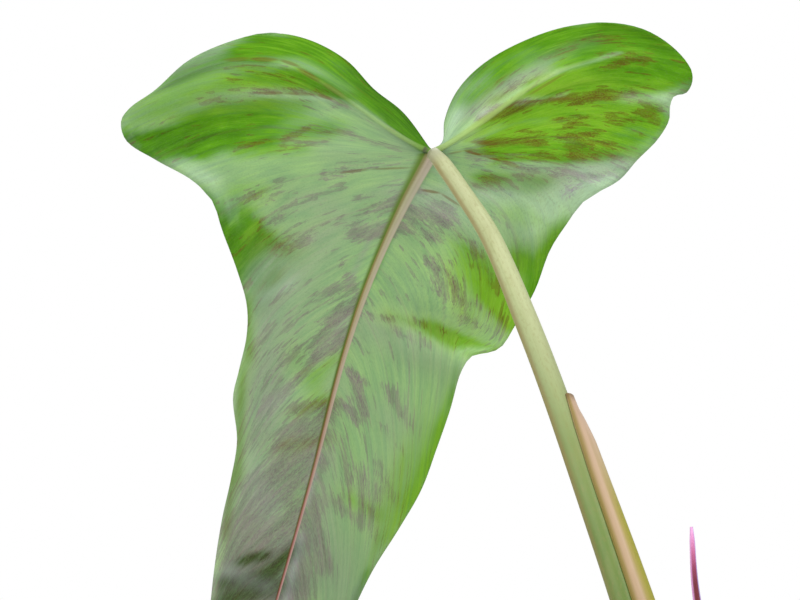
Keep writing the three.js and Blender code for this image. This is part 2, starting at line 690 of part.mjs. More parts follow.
function addRoots() {
  AERIAL_ROOTS.forEach(({ name, heading }) => {
    add(`root_${name}`, cut(rootTube(heading), stemCutter()), LOOKS.root);
  });
}

// Soil with its chips fused in, and plain holes for what stands in it
function addSoil() {
  let soil = toSolid(soilBody());
  barkChips().forEach((chip) => {
    soil = soil.add(toSolid(chip));
  });
  const holes = [stemCutter(), ...AERIAL_ROOTS.map(({ heading }) => rootTube(heading, GAP))];
  holes.forEach((hole) => {
    soil = soil.subtract(toSolid(hole));
  });
  add('soil', toGeometry(soil), LOOKS.soil);
}

add('pot', potGeometry(), LOOKS.clay);
addSoil();
add('stem', stemGeometry(), LOOKS.stem);
addRoots();
addLargeLeaf();
OLDER_LEAVES.forEach(addOlderLeaf);

export default part;
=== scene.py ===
import math
import random
from functools import reduce

import bmesh
import bpy
import numpy as np
from mathutils import Matrix, Vector, noise


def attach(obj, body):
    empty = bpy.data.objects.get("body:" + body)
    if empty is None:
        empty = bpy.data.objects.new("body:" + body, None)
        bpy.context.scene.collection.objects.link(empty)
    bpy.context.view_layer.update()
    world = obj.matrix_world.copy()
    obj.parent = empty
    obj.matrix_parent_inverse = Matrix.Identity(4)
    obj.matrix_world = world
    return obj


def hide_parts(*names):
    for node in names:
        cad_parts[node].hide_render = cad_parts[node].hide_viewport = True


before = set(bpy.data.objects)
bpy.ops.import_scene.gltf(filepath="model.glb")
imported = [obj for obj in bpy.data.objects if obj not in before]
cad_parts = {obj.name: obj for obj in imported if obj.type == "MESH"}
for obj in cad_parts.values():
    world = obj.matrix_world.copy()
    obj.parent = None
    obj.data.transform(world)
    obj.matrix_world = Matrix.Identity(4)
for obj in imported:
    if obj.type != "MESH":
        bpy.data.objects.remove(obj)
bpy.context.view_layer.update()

# Lengths below are in millimetres and become metres when a mesh is made
MM = 0.001

# Clay pot
POT_HEIGHT = 125
POT_BASE_RADIUS = 46
POT_RIM_RADIUS = 69
POT_RIM_HEIGHT = 24
POT_RIM_STEP = 3.5
POT_RIM_FLARE = 2
POT_WALL = 5
POT_FLOOR = 8
POT_BEVEL = 1.5
POT_ROUNDING = 1.6
POT_SHOULDER = 1
POT_LIP_WIDTH = 1.2
POT_LIP_HEIGHT = 2
POT_BODY_TOP = POT_HEIGHT - POT_RIM_HEIGHT
POT_BODY_RADIUS = POT_RIM_RADIUS - POT_RIM_STEP - POT_RIM_FLARE
TURNING_LINE_DEPTH = 0.12
WALL_WANDER = 0.25

# Soil, bark chips and grains
SOIL_LEVEL = 111
SOIL_MOUND = 4
SOIL_MOUND_RADIUS = 22.4
SOIL_HOLLOWS = 0.8
SOIL_RINGS = 110
SOIL_CLEARANCE = 0.2
CRUMB_HEIGHT = 1.1
GRIT_HEIGHT = 0.7
CRUMB_SINK = 0.3
CHIP_SEED = 7
CHIP_COUNT = 56
CHIP_MARGIN = 7
CHIP_LEAST = (4, 3, 2.4)
CHIP_SPREAD = (5, 3, 1.6)
CHIP_LEAN = 0.5
CHIP_RISE = 0.5
CHIP_SHARPNESS = 0.85
GRAIN_SEED = 11
GRAIN_COUNT = 520
GRAIN_CLEARANCE = 1.5
GRAIN_OVERREACH = 4
GRAIN_LEAN = 0.6
PERLITE_EVERY = 7
# Least and greatest length of a grain, least and greatest share of it that is its width, and sharpness
GRAIN_SHAPES = {"bark": (1.6, 5.5, 0.35, 0.7, 0.8), "perlite": (1.4, 3, 0.7, 1, 0.3)}

# Stem and roots
STEM_FOOT = 92
STEM_TOP = 148
STEM_RADIUS = 9
SCAR_SPACING = 9
SCAR_RISE = 0.7
SCAR_WIDTH = 1.1
SCAR_SHIFT = 3
STEM_TAPER = 0.8
STEM_INSET = 0.1
CAP_START = 0.94
CAP_LENGTH = 0.06
CAP_NARROWING = 0.35
ROOT_RADIUS = 1.5
ROOT_TAPER = 0.2
ROOT_PATH = [(6, 127), (12, 127), (17, 121), (19, 112), (20, 103)]
AERIAL_ROOTS = [("back", 62), ("left", 158)]
GAP = 0.3

# Leaf blades: thickness, how the plate falls and waves, and its ribs
BLADE_HALF = 0.3
EDGE_THINNING = 0.55
BLADE_LENGTH = 222
SWING_LENGTH = 260
TIP_FALL = 0.5
LOBE_RISE = 0.22
BOW_LEAN = 1.4
EDGE_FALL = 0.13
EDGE_FALL_POWER = 1.6
WAVE_HEIGHT = 2.4
WAVE_COUNT = 5
CALM_TIP = 0.08
FOLD_START = 0.25
KEEL_RISE = 2.6
KEEL_WIDTH = 6
KEEL_FULLNESS = 0.7
STRIP_FOLD = 5
MIDRIB_WIDTHS = [(0, 1.8), (0.05, 1.6), (0.12, 1.25), (0.25, 0.92), (0.45, 0.56), (0.6, 0.38), (1, 0.3)]
MIDRIB_RISE = 0.6
LOBE_RIB_RISE = 0.7
LOBE_RIB_WIDTH = 0.6
LOBE_RIB_FOOT = 1.1
LOBE_RIB_TAPER = 0.5
LOBE_RIB_REACH = 1.15
LOBE_RIB_FADE = 1.2
LEFT_RIB_PALENESS = 0.5
FAR_OFF_RIB = 4
# How closely the rows of points crowd towards the ribs
ROW_CROWDING = 1.3
STRIP_CROWDING = 1.4
# Side veins: where they end along the outer edge, the right side's shifted, and how they slant
RIGHT_VEIN_SHIFT = 400
LEFT_VEINS = [69, 92, 110, 128, 150, 174, 194, 216, 240]
RIGHT_VEINS = [62, 92, 105, 120, 138, 155, 173, 192, 214, 240]
SLANT_START = 0.3
SLANT_POWER = 1.5

# The large leaf
LEAF_TILT = math.radians(8)
LEAF_SINUS = (-76.2, 105, 405)
LEAF_EYE = (-9.4, -43.7, 590)
LARGE_BLADE_ROWS = dict(strip=14, fan=30, lengthwise=120, across=44)

# Outline of a blade on its plate: origin where the petiole joins, +Y towards the back lobes
MIDRIB = [
    (0, 0), (-8.3, -15), (-18.1, -36.7), (-25.8, -59.3), (-35.1, -94.7), (-45.7, -131.9), (-59.9, -179.4),
    (-72.3, -222.1),
]
LEFT_SIDE = {
    "sign": -1,
    "inner": [(0, 0), (-8.6, 11.5), (-17.1, 18.3), (-25.1, 26.8), (-36.3, 33), (-47.8, 35.1)],
    "outer": [
        (-47.8, 35.1), (-58.4, 33), (-71.7, 27.1), (-81.7, 18.3), (-89.7, 12.4), (-91.7, 9.1), (-90.3, 3.5),
        (-81.4, -2.4), (-70.8, -8.3), (-64.9, -14.2), (-61.9, -23), (-57.5, -34.8), (-54.6, -45.1),
        (-54.6, -54), (-56.9, -64.3), (-58.7, -72.3), (-57.5, -85), (-59.3, -96.8), (-61.9, -108.6),
        (-64.6, -126.3), (-67.6, -158.7), (-70.2, -191.2), (-72.3, -222.1),
    ],
    "rib_end": 0.13,
    "fan_end": 0.28,
    "bows": [(0, 0.19), (0.13, 0.19), (0.175, 0.15), (0.28, 0.06), (0.45, 0.08), (1, 0.1)],
    "slant": 0.4,
}
RIGHT_SIDE = {
    "sign": 1,
    "inner": [(0, 0), (3.2, 2.9), (3.8, 9.4), (7.7, 18.3), (16.8, 27.1), (36, 36), (51, 38.1)],
    "outer": [
        (51, 38.1), (62.8, 36), (72, 30.1), (76.4, 24.2), (76.7, 20.6), (74.9, 17.4), (71.4, 16.5),
        (70.2, 13.6), (69.9, 9.4), (66.4, 3.5), (60.5, -2.4), (55.2, -8.3), (45.1, -14.2), (39.5, -21.5),
        (34.8, -28.9), (30.4, -40.7), (24.8, -50.7), (20.1, -57.8), (16.2, -59.3), (11.8, -60.2),
        (8.8, -64.3), (5.3, -76.1), (1.2, -87.9), (-3.2, -99.7), (-10, -111.5), (-17.4, -123.3),
        (-25.7, -140.1), (-40.1, -167.6), (-56.6, -194.7), (-72.3, -222.1),
    ],
    "rib_end": 0.093,
    "fan_end": 0.24,
    "bows": [(0, 0.148), (0.093, 0.148), (0.15, 0.11), (0.24, 0.05), (0.45, 0.08), (1, 0.1)],
    "slant": 1.7,
}

# Troughs and folds on the plate, each from one point to another: x, y, x, y, half width, height
FOLDS = [
    (-84, 4, -46, 11, 6, -3.6),
    (-86, 14, -62, 21, 5, 1.4),
    (-62, -22, -53, -40, 7, -3),
    (-60, -56, -59, -72, 6, 1.6),
    (33, -29, 18, -50, 8, -3),
    (-3, -49, 16, -57, 4.5, -3),
    (-6, -58, 9, -64, 4, 1.6),
    (7, -72, -8, -106, 5, -2),
    (26, -7, 52, -14, 5, 2),
    (62, 17, 72, 19, 6, 1.6),
    (24, 8, 58, 6, 8, -2),
]

# Petiole, sheath and new leaf of the large leaf, from foot to tip
PETIOLE_PATH = [
    (-3.2, 1.2, 143), (-7.5, 4.6, 175), (-18.2, 15.6, 230), (-30.1, 27.3, 275), (-37.2, 35.9, 300),
    (-44.6, 49.4, 326.6), (-50.6, 61.7, 346.7), (-60.2, 80.9, 375.4), (-67.4, 91, 389.7),
    (-73.3, 98.8, 400.2), (-75.9, 102.3, 404),
]
PETIOLE_RADII = [(0, 5), (0.2, 4.2), (0.45, 3.5), (0.75, 3.3), (0.87, 2.9), (0.94, 2.6), (0.98, 2.5), (1, 2)]
SHEATH_TOP = 325.8
SHEATH_HALF_ANGLES = [(0, 0.95), (8, 1.18), (20, 1.28), (60, 1.25), (200, 1.25)]
SHEATH_BULGES = [(0, 0.3), (3.5, 0.45), (6.5, 1.05), (12, 1.7), (22, 1.95), (52, 2.8), (130, 3.6), (200, 3)]
NEW_LEAF_PATH = [(3.2, -6.4, 144), (2.6, -6.2, 170), (-6.5, 0.5, 228), (-15.1, 7.1, 275.2), (-16, 7.7, 292.5)]
NEW_LEAF_RADII = [(0, 3), (0.35, 2.9), (0.65, 1.95), (0.88, 1), (0.98, 0.65), (1, 0.35)]

# Older leaves: where they grow, how large they are and how they hang
OLDER_LEAVES = [
    dict(name="right", heading=-11, foot=128, reach=88, height=262, tilt=16, spin=-16, mirror=True,
         width=0.77, length=0.7, curl=3.2),
    dict(name="front", heading=-149, foot=120, reach=92, height=232, tilt=22, spin=20, mirror=False,
         width=0.57, length=0.66, curl=-2.4),
]
# The older blades are this much smaller, to stay within the solids
OLDER_BLADE_TRIM = 0.9988
OLDER_BLADE_ROWS = dict(strip=8, fan=18, lengthwise=64, across=26)
OLDER_PETIOLE_RADII = [(0, 5.2), (0.3, 4.2), (0.75, 3.4), (0.95, 2.7), (1, 1.6)]
# Length of blade over which its curl grows to the full amount
CURL_LENGTH = 50
# Their petioles: how far out they start, the first handle out and up, the last one under and below the blade
PETIOLE_START = 4
FIRST_HANDLE = (34, 44)
LAST_HANDLE = (34, 26)
PETIOLE_END_DEPTH = 2.6
# Sheaths: thickness at the margin and in the middle, and the dry ones' reach, clearance and opening
SHEATH_MARGIN = 0.12
SHEATH_THICKNESS = 0.58
DRY_SHEATH_REACH = 0.32
DRY_SHEATH_CLEARANCE = 0.6
DRY_SHEATH_FLARE = 1.5
DRY_SHEATH_OPENING = 1.3
DRY_SHEATH_NARROWING = 0.9
DRY_SHEATH_BULGE = 0.3

# Light: the white surround's strength, and soft lamps with place, size and power, in metres and watts
WORLD_LIGHT = 0.5
LIGHT_AIM = (-0.05, 0.05, 0.25)
LIGHTS = [
    ("key", (1.1, -1.3, 1.5), 1.2, 26),
    ("fill", (-1.4, -1.1, 0.9), 1.4, 14),
    ("back", (-0.4, 1.6, 1.6), 1.2, 12),
]
# Camera place in metres and its upward pitch
CAMERA_PLACE = (-0.08564, -0.47318, 0.27965)
CAMERA_PITCH = math.radians(98)
CAMERA_LENS = 90

# Pale veil on the leaf's underside, partly its wax and partly painted sheen: what it adds to the tissue's
# colour, and more where painted highlights are whitest
WAX_AND_SHEEN = (0.161, 0.154, 0.186)
PAINTED_HIGHLIGHT = (0.17, 0.176, 0.212)
# Brown mottling in three sizes: fineness along and across, place in the noise, growth where dense, strength
MOTTLE_SIZES = [(0.28, 0.8, 0, 0.34, 0.9), (0.64, 1.9, 11, 0.3, 0.8), (1.4, 4.2, 23, 0.27, 0.7)]
# Where the petiole joins the blade, and the dark spot there
JOINT = (-2.1, 0.5)
JOINT_RADIUS = 0.75
# How far strokes fade past their ends, in half widths, and what tone counts away from them all
STROKE_END = 2
TONE_ELSEWHERE = 0.45
WEIGHT_ELSEWHERE = 0.02
TONE_CLOSENESS = 1.4

# Strokes on the plate of the large leaf: from x, y to x, y, half width and strength.
# Where the pale veil of wax and painted sheen is thin, with a last number for how bright the green is there,
# its darker greens being painted shade
SHADE_AND_THIN_SHEEN_STROKES = [
    (-0.5, 1, -7.5, 7.5, 2.5, 1, 0.1), (-2.5, 2, -12, 8.5, 1, 1, 0.25), (-7.5, 7.5, -14, 14.5, 2.5, 1, 0.1),
    (-12, 9.5, -19, 15.5, 2, 0.6, 0.3), (-14, 14.5, -19, 20, 3, 1, 0.1),
    (-19, 20.5, -23.5, 25.5, 2.5, 0.9, 0.15), (-23.5, 25.5, -30, 30, 2, 0.7, 0.3),
    (-30, 30, -39, 32.5, 2.5, 0.8, 0.6), (-23.5, 21, -33, 26.5, 2.5, 0.8, 0.35),
    (-17.5, 13, -27, 20, 2, 0.7, 0.4), (-33, 27, -45, 29, 3, 0.3, 0.45), (-39, 30.5, -55, 30, 2.5, 1, 0.4),
    (-50, 26.5, -56.5, 27, 1.5, 0.5, 0.4), (-29, 29.5, -52, 33.5, 2, 0.9, 0.3),
    (-79, 15.5, -56.5, 24, 5.5, 0.34, 0.5), (-87.5, 10, -77.5, 13.5, 3.5, 0.3, 0.5),
    (-27, 17, -35.5, 20.5, 2, 1.1, 0.3), (-34, 20.5, -42, 22.5, 2.5, 0.85, 0.4),
    (-42, 21, -50, 22, 3, 0.75, 0.6), (-50, 21, -59, 20.5, 2.5, 0.35, 0.65),
    (-58, 20.5, -69.5, 17.5, 2.5, 0.3, 0.55), (-83, 4, -68.5, 7.5, 2, 1.15, 0.1),
    (-89, 4, -81.5, 0, 2, 1, 0.2), (-75.5, 6.5, -65.5, 12, 2.5, 0.4, 0.5),
    (-75.5, 22, -59, 28.5, 2.5, 0.35, 0.05), (-80, 2.5, -59.5, 5.5, 2.5, 1.15, 0.15),
    (-67, 8.5, -53.5, 10, 2, 1, 0.3), (-71.5, 10.5, -50, 14, 2.5, 0.5, 0.55),
    (-61, 7, -48.5, 9.5, 3, 0.8, 0.35), (-50, 10, -39, 11.5, 2.5, 0.35, 0.45),
    (-40, 10, -27, 9, 2, 0.12, 0.5), (-80, 0, -68.5, -0.5, 2, 0.8, 0.3), (-83, 2, -66.5, 3, 2.5, 1.2, 0.15),
    (-65, 2, -49, 3, 2.5, 0.75, 0.35), (-56.5, -0.5, -39, 1, 2, 0.45, 0.55),
    (-50, 5.5, -31.5, 6.5, 3, 0.6, 0.4), (-59.5, 13.5, -39, 14.5, 2.5, 0.5, 0.5),
    (-64.5, -11.5, -52, -11, 2.5, 0.45, 0.6), (-40, -23, -32.5, -20, 2, 0.12, 0.6),
    (16, -8.5, 29.5, -10, 2, 0.9, 0.5), (26.5, -18.5, 33.5, -22, 2.5, 0.45, 0.6),
    (-33.5, -65.5, -29.5, -62, 2.5, 0.4, 0.6), (-39, -76, -32.5, -74, 2.5, 0.4, 0.6),
    (-42.5, -86.5, -33.5, -85, 2.5, 0.35, 0.6), (-59, -97, -61, -111.5, 2, 0.45, 0.6),
    (-23.5, -102.5, -17.5, -106, 2.5, 0.35, 0.55), (-63, -20.5, -59, -27, 4, 1, 0.3),
    (-61.5, -25, -56.5, -34, 5.5, 1, 0.3), (-58, -32.5, -55, -40.5, 2.5, 0.3, 0.5),
    (-53.5, -23.5, -49.5, -31.5, 4, 0.9, 0.45), (-58, -21, -52, -26, 4, 0.85, 0.35),
    (-53, -25, -45.5, -28.5, 3, 0.55, 0.5), (-61.5, -31.5, -53.5, -36.5, 2.5, 0.4, 0.5),
    (-53.5, -22.5, -42, -27, 3, 0.3, 0.6), (-59, -25, -53.5, -32.5, 3, 0.9, 0.3),
    (0, -2, -8.5, -16, 1, 0.8, 0.3), (-8.5, -16, -17.5, -36.5, 1, 0.6, 0.3),
    (-17.5, -36.5, -26, -59, 0.5, 0.45, 0.2), (11, -29.5, 20, -39, 3, 0.6, 0.5),
    (16.5, -42.5, 22.5, -49, 2.5, 0.7, 0.7), (-26, -59, -33.5, -88, 0.5, 0.35, 0.1),
    (7.5, 16.5, 13.5, 24, 2.5, 0.3, 0.3), (12.5, 16.5, 21, 24, 2.5, 0.3, 0.3),
    (21, 24, 38.5, 31, 2.5, 0.6, 0.4), (13.5, 24, 22, 30.5, 2.5, 0.6, 0.3),
    (22, 30, 36.5, 35, 2.5, 0.85, 0.35), (36.5, 34, 53, 35, 3, 1.1, 0.4), (53, 35, 65, 31.5, 3.5, 1.1, 0.4),
    (65, 33.5, 74, 25.5, 3, 0.95, 0.3), (74, 25.5, 75, 21, 2, 0.5, 0.3), (21, 25.5, 38, 31.5, 2, 0.4, 0.5),
    (38, 31.5, 54.5, 32.5, 3, 0.8, 0.3), (49.5, 29.5, 69.5, 25.5, 4, 1.05, 0.3), (20, 15, 32, 20, 2, 0.7, 1),
    (32, 19, 43.5, 22, 2.5, 0.9, 1), (43.5, 22.5, 55.5, 25, 3, 1, 0.6), (42.5, 20, 65.5, 20, 2, 1, 0.6),
    (29, 19.5, 49.5, 25.5, 1, 0.8, 0.6), (39.5, 26, 61.5, 29.5, 2.5, 0.7, 0.6),
    (11, 15.5, 20, 21, 2, 0.4, 0.45), (54.5, 25.5, 66, 22.5, 3.5, 0.95, 0.3),
    (36.5, 17, 60, 17.5, 2.5, 0.95, 0.6), (61.5, 21, 68.5, 22, 2.5, 0.6, 0.5),
    (10.5, 3.5, 16, 6.5, 1, 0.35, 0.8), (15.5, 8.5, 23, 12, 2, 0.7, 0.9), (23, 11, 38, 13, 3, 1, 0.7),
    (38, 12.5, 61.5, 12.5, 3, 1, 0.65), (17.5, 3.5, 26, 5.5, 2, 0.85, 0.6), (26, 5.5, 49.5, 7, 3.5, 1, 0.7),
    (49.5, 8.5, 65, 9.5, 3, 0.9, 0.55), (18.5, 1, 32, 1, 2, 1, 0.45), (15.5, -7, 32, -9, 2, 0.5, 0.45),
    (32, 1, 49.5, 1.5, 2.5, 0.9, 0.55), (49.5, 2.5, 60, 4, 3, 0.8, 0.5), (39.5, -1, 60, -0.5, 2.5, 0.75, 0.4),
    (64.5, 9.5, 66, 3.5, 2.5, 0.5, 0.4), (64.5, 11.5, 68, 9, 2, 0.55, 0.4), (11, 0.5, 20, -1, 1, 0.5, 0.45),
    (20, -2, 40.5, -2, 1, 0.7, 0.5), (38, -22.5, 34, -31.5, 2.5, 1, 0.6),
    (34, -32.5, 30.5, -43.5, 3.5, 1, 0.45), (27, -32.5, 29.5, -39.5, 3.5, 0.7, 0.45),
    (29.5, -32.5, 22.5, -32, 3, 0.6, 0.55), (20, -32.5, 17, -30.5, 2, 0.3, 0.6),
    (11, -35, 17, -41.5, 3.5, 0.6, 0.75), (16.5, -41.5, 22.5, -49, 3.5, 0.75, 0.75),
    (7, -39.5, 10.5, -47, 3.5, 0.35, 0.75), (-12, -48.5, 0, -52, 2, 0.4, 0.8),
    (-0.5, -52, 9, -56, 2, 0.8, 0.6), (7.5, -56, 16.5, -58.5, 2, 0.65, 0.7),
    (2, -53, 11, -58, 2.5, 0.7, 0.75), (7, -65, 5.5, -73, 1, 0.35, 0.5), (6, -73, 2.5, -82.5, 2.5, 0.5, 0.55),
    (2.5, -82.5, -1, -92, 3, 0.6, 0.75), (-1, -92, -6, -101.5, 3, 0.5, 0.65),
    (-5.5, -101.5, -12, -112.5, 2.5, 0.5, 0.75), (-9, -92.5, -14, -107.5, 3.5, 0.3, 0.7),
    (-3.5, -85, -8.5, -101.5, 6, 0.25, 0.55), (-15.5, -114.5, -19, -124, 2, 0.3, 0.5),
    (-23, -133, -19.5, -124.5, 1, 0.4, 0.2), (-39, -62, -32.5, -72.5, 3.5, 0.25, 0.6),
    (-60, -97, -63.5, -120.5, 1.5, 0.3, 0.8), (-55, -40.5, -54, -59, 2, 0.6, 0.6),
    (-56.5, -66, -57, -94, 2, 0.6, 0.65), (-63.5, -120.5, -65, -132, 1.5, 0.2, 0.8),
    (-55.5, -120.5, -50, -119, 1.5, 0.9, 0), (-60, -126.5, -52, -125.5, 2.5, 0.7, 0),
    (-50, -125.5, -42, -118.5, 2.5, 0.75, 0), (-59, -131.5, -46.5, -128.5, 3.5, 0.7, 0),
]
# Where painted highlights make the veil whitish
PAINTED_HIGHLIGHT_STROKES = [
    (-34, 24, -26, 19, 1.5, 0.3), (-91, 7, -88, 2, 1, 0.5), (-80, -2, -74.5, -3.5, 2, 0.1),
    (-69.5, -6.5, -63, -9.5, 2.5, 0.7), (-64.5, -10.5, -60, -16.5, 2, 0.9), (2.5, -4.5, 6, -12, 2, 0.35),
    (-33.5, -88.5, -36.5, -102.5, 1, 0.45), (-50, 17, -26.5, 15.5, 0.5, 0.5),
    (-58, 26.5, -42, 25.5, 0.5, 0.4), (4, 4, 7, 10, 2, 0.85), (6.5, 3.5, 16, 12, 1, 0.45),
    (15.5, 11.5, 26, 18, 1, 1.1), (29, 26.5, 46.5, 32, 2, 0.15), (25, 15, 39.5, 17, 0.5, 0.5),
    (26, 18, 38, 24, 0.5, 0.9), (36.5, 23.5, 54.5, 29, 0.5, 0.8), (25, -10, 42.5, -13, 2.5, 0.8),
    (42, -11, 51.5, -9, 2, 1.3), (48, -9.5, 53, -7.5, 1, 1.5), (35, -15, 46.5, -14, 1, 1.3),
    (33, -17.5, 48.5, -13.5, 3.5, 1), (32, -21.5, 40, -17, 2.5, 0.9), (45, -6, 58, -2.5, 2.5, 0.5),
    (50.5, -11, 40.5, -15.5, 2.5, 1.5), (58.5, 16, 69.5, 16, 1.5, 0.75), (70, 15, 69, 9.5, 1, 0.5),
    (66, 3.5, 58, -6, 1.5, 0.4), (17, -12.5, 38, -16.5, 3, 0.7), (-3.5, -13, 11, -18.5, 4, 0.35),
    (-56.5, -88, -50, -102.5, 4.5, 0.2), (-52, -34, -48.5, -31.5, 2, 0.4), (-53, -39, -48.5, -34, 3, 0.8),
    (-49, -42, -43.5, -39.5, 2, 0.5), (-56.5, -79, -45, -73, 4, 0.2), (9, -58.5, 15.5, -58.5, 1, 0.9),
    (11, -60, 8.5, -67.5, 1.5, 0.35), (-56, -55.5, -58, -65, 1.5, 0.4), (-57.5, -67.5, -59, -76.5, 1, 0.5),
    (-39, -115, -43, -132, 1.5, 0.6), (-59, -124.5, -50, -127.5, 2.5, 0.5),
    (-61.5, -101.5, -65, -130.5, 1.5, 0.8),
]
# Where the tissue is hazed with mauve
HAZE_STROKES = [
    (-46, -34, -36, -27.5, 6.5, 0.4), (-46.5, -36.5, -48, -52.5, 7.5, 0.6),
    (-32.5, -23.5, -39, -43.5, 8.5, 0.5), (-27, -58.5, -30, -79, 4.5, 0.4),
    (-17.5, -52.5, -3.5, -59, 5.5, 0.55), (-11, -85, -14, -111.5, 5.5, 0.35),
    (-24, -120.5, -27, -132, 6, 0.4), (-39, -120.5, -40.5, -132, 4, 0.8), (-50, -53.5, -47, -73, 7, 0.6),
    (-49.5, -73, -49, -97, 7, 0.7), (-56.5, -108.5, -50, -132, 12, 0.95), (-34, -94, -30, -123.5, 6, 0.7),
    (-42, -79, -33, -88, 4.5, 0.5), (-39, -14, -15.5, -22, 4.5, 0.35), (-30, 0.5, -9.5, -3.5, 4, 0.3),
    (-34, -60, -28.5, -55.5, 2.5, 0.5), (-27, -50.5, -25, -46, 1.5, 0.7), (-23.5, -36.5, -18.5, -26, 1, 0.7),
    (-52, -110.5, -46, -105, 2.5, 0.7), (-45, -115.5, -40.5, -108.5, 2, 0.7),
    (-35.5, -106, -33, -117, 1, 0.8), (14, -10.5, 38, -7, 4, 0.4), (-21, 12, -9, 2, 2.5, 0.35),
    (36.5, -7, 55.5, -4, 3.5, 0.6), (12.5, 12, 22.5, 19, 2.5, 0.9), (23.5, 20, 32, 23.5, 2, 0.8),
    (33, 27.5, 41.5, 31, 1.5, 0.6), (-65.5, 15.5, -30, 16.5, 3.5, 0.3), (-12, -12.5, 2.5, -13, 3.5, 0.6),
    (-12, -49.5, 1, -52.5, 4, 0.4), (-24, -73, -9.5, -79, 4, 0.3), (5.5, -18.5, 20, -25, 6, 0.35),
    (-56.5, -73, -58, -94, 3.5, 0.5),
]
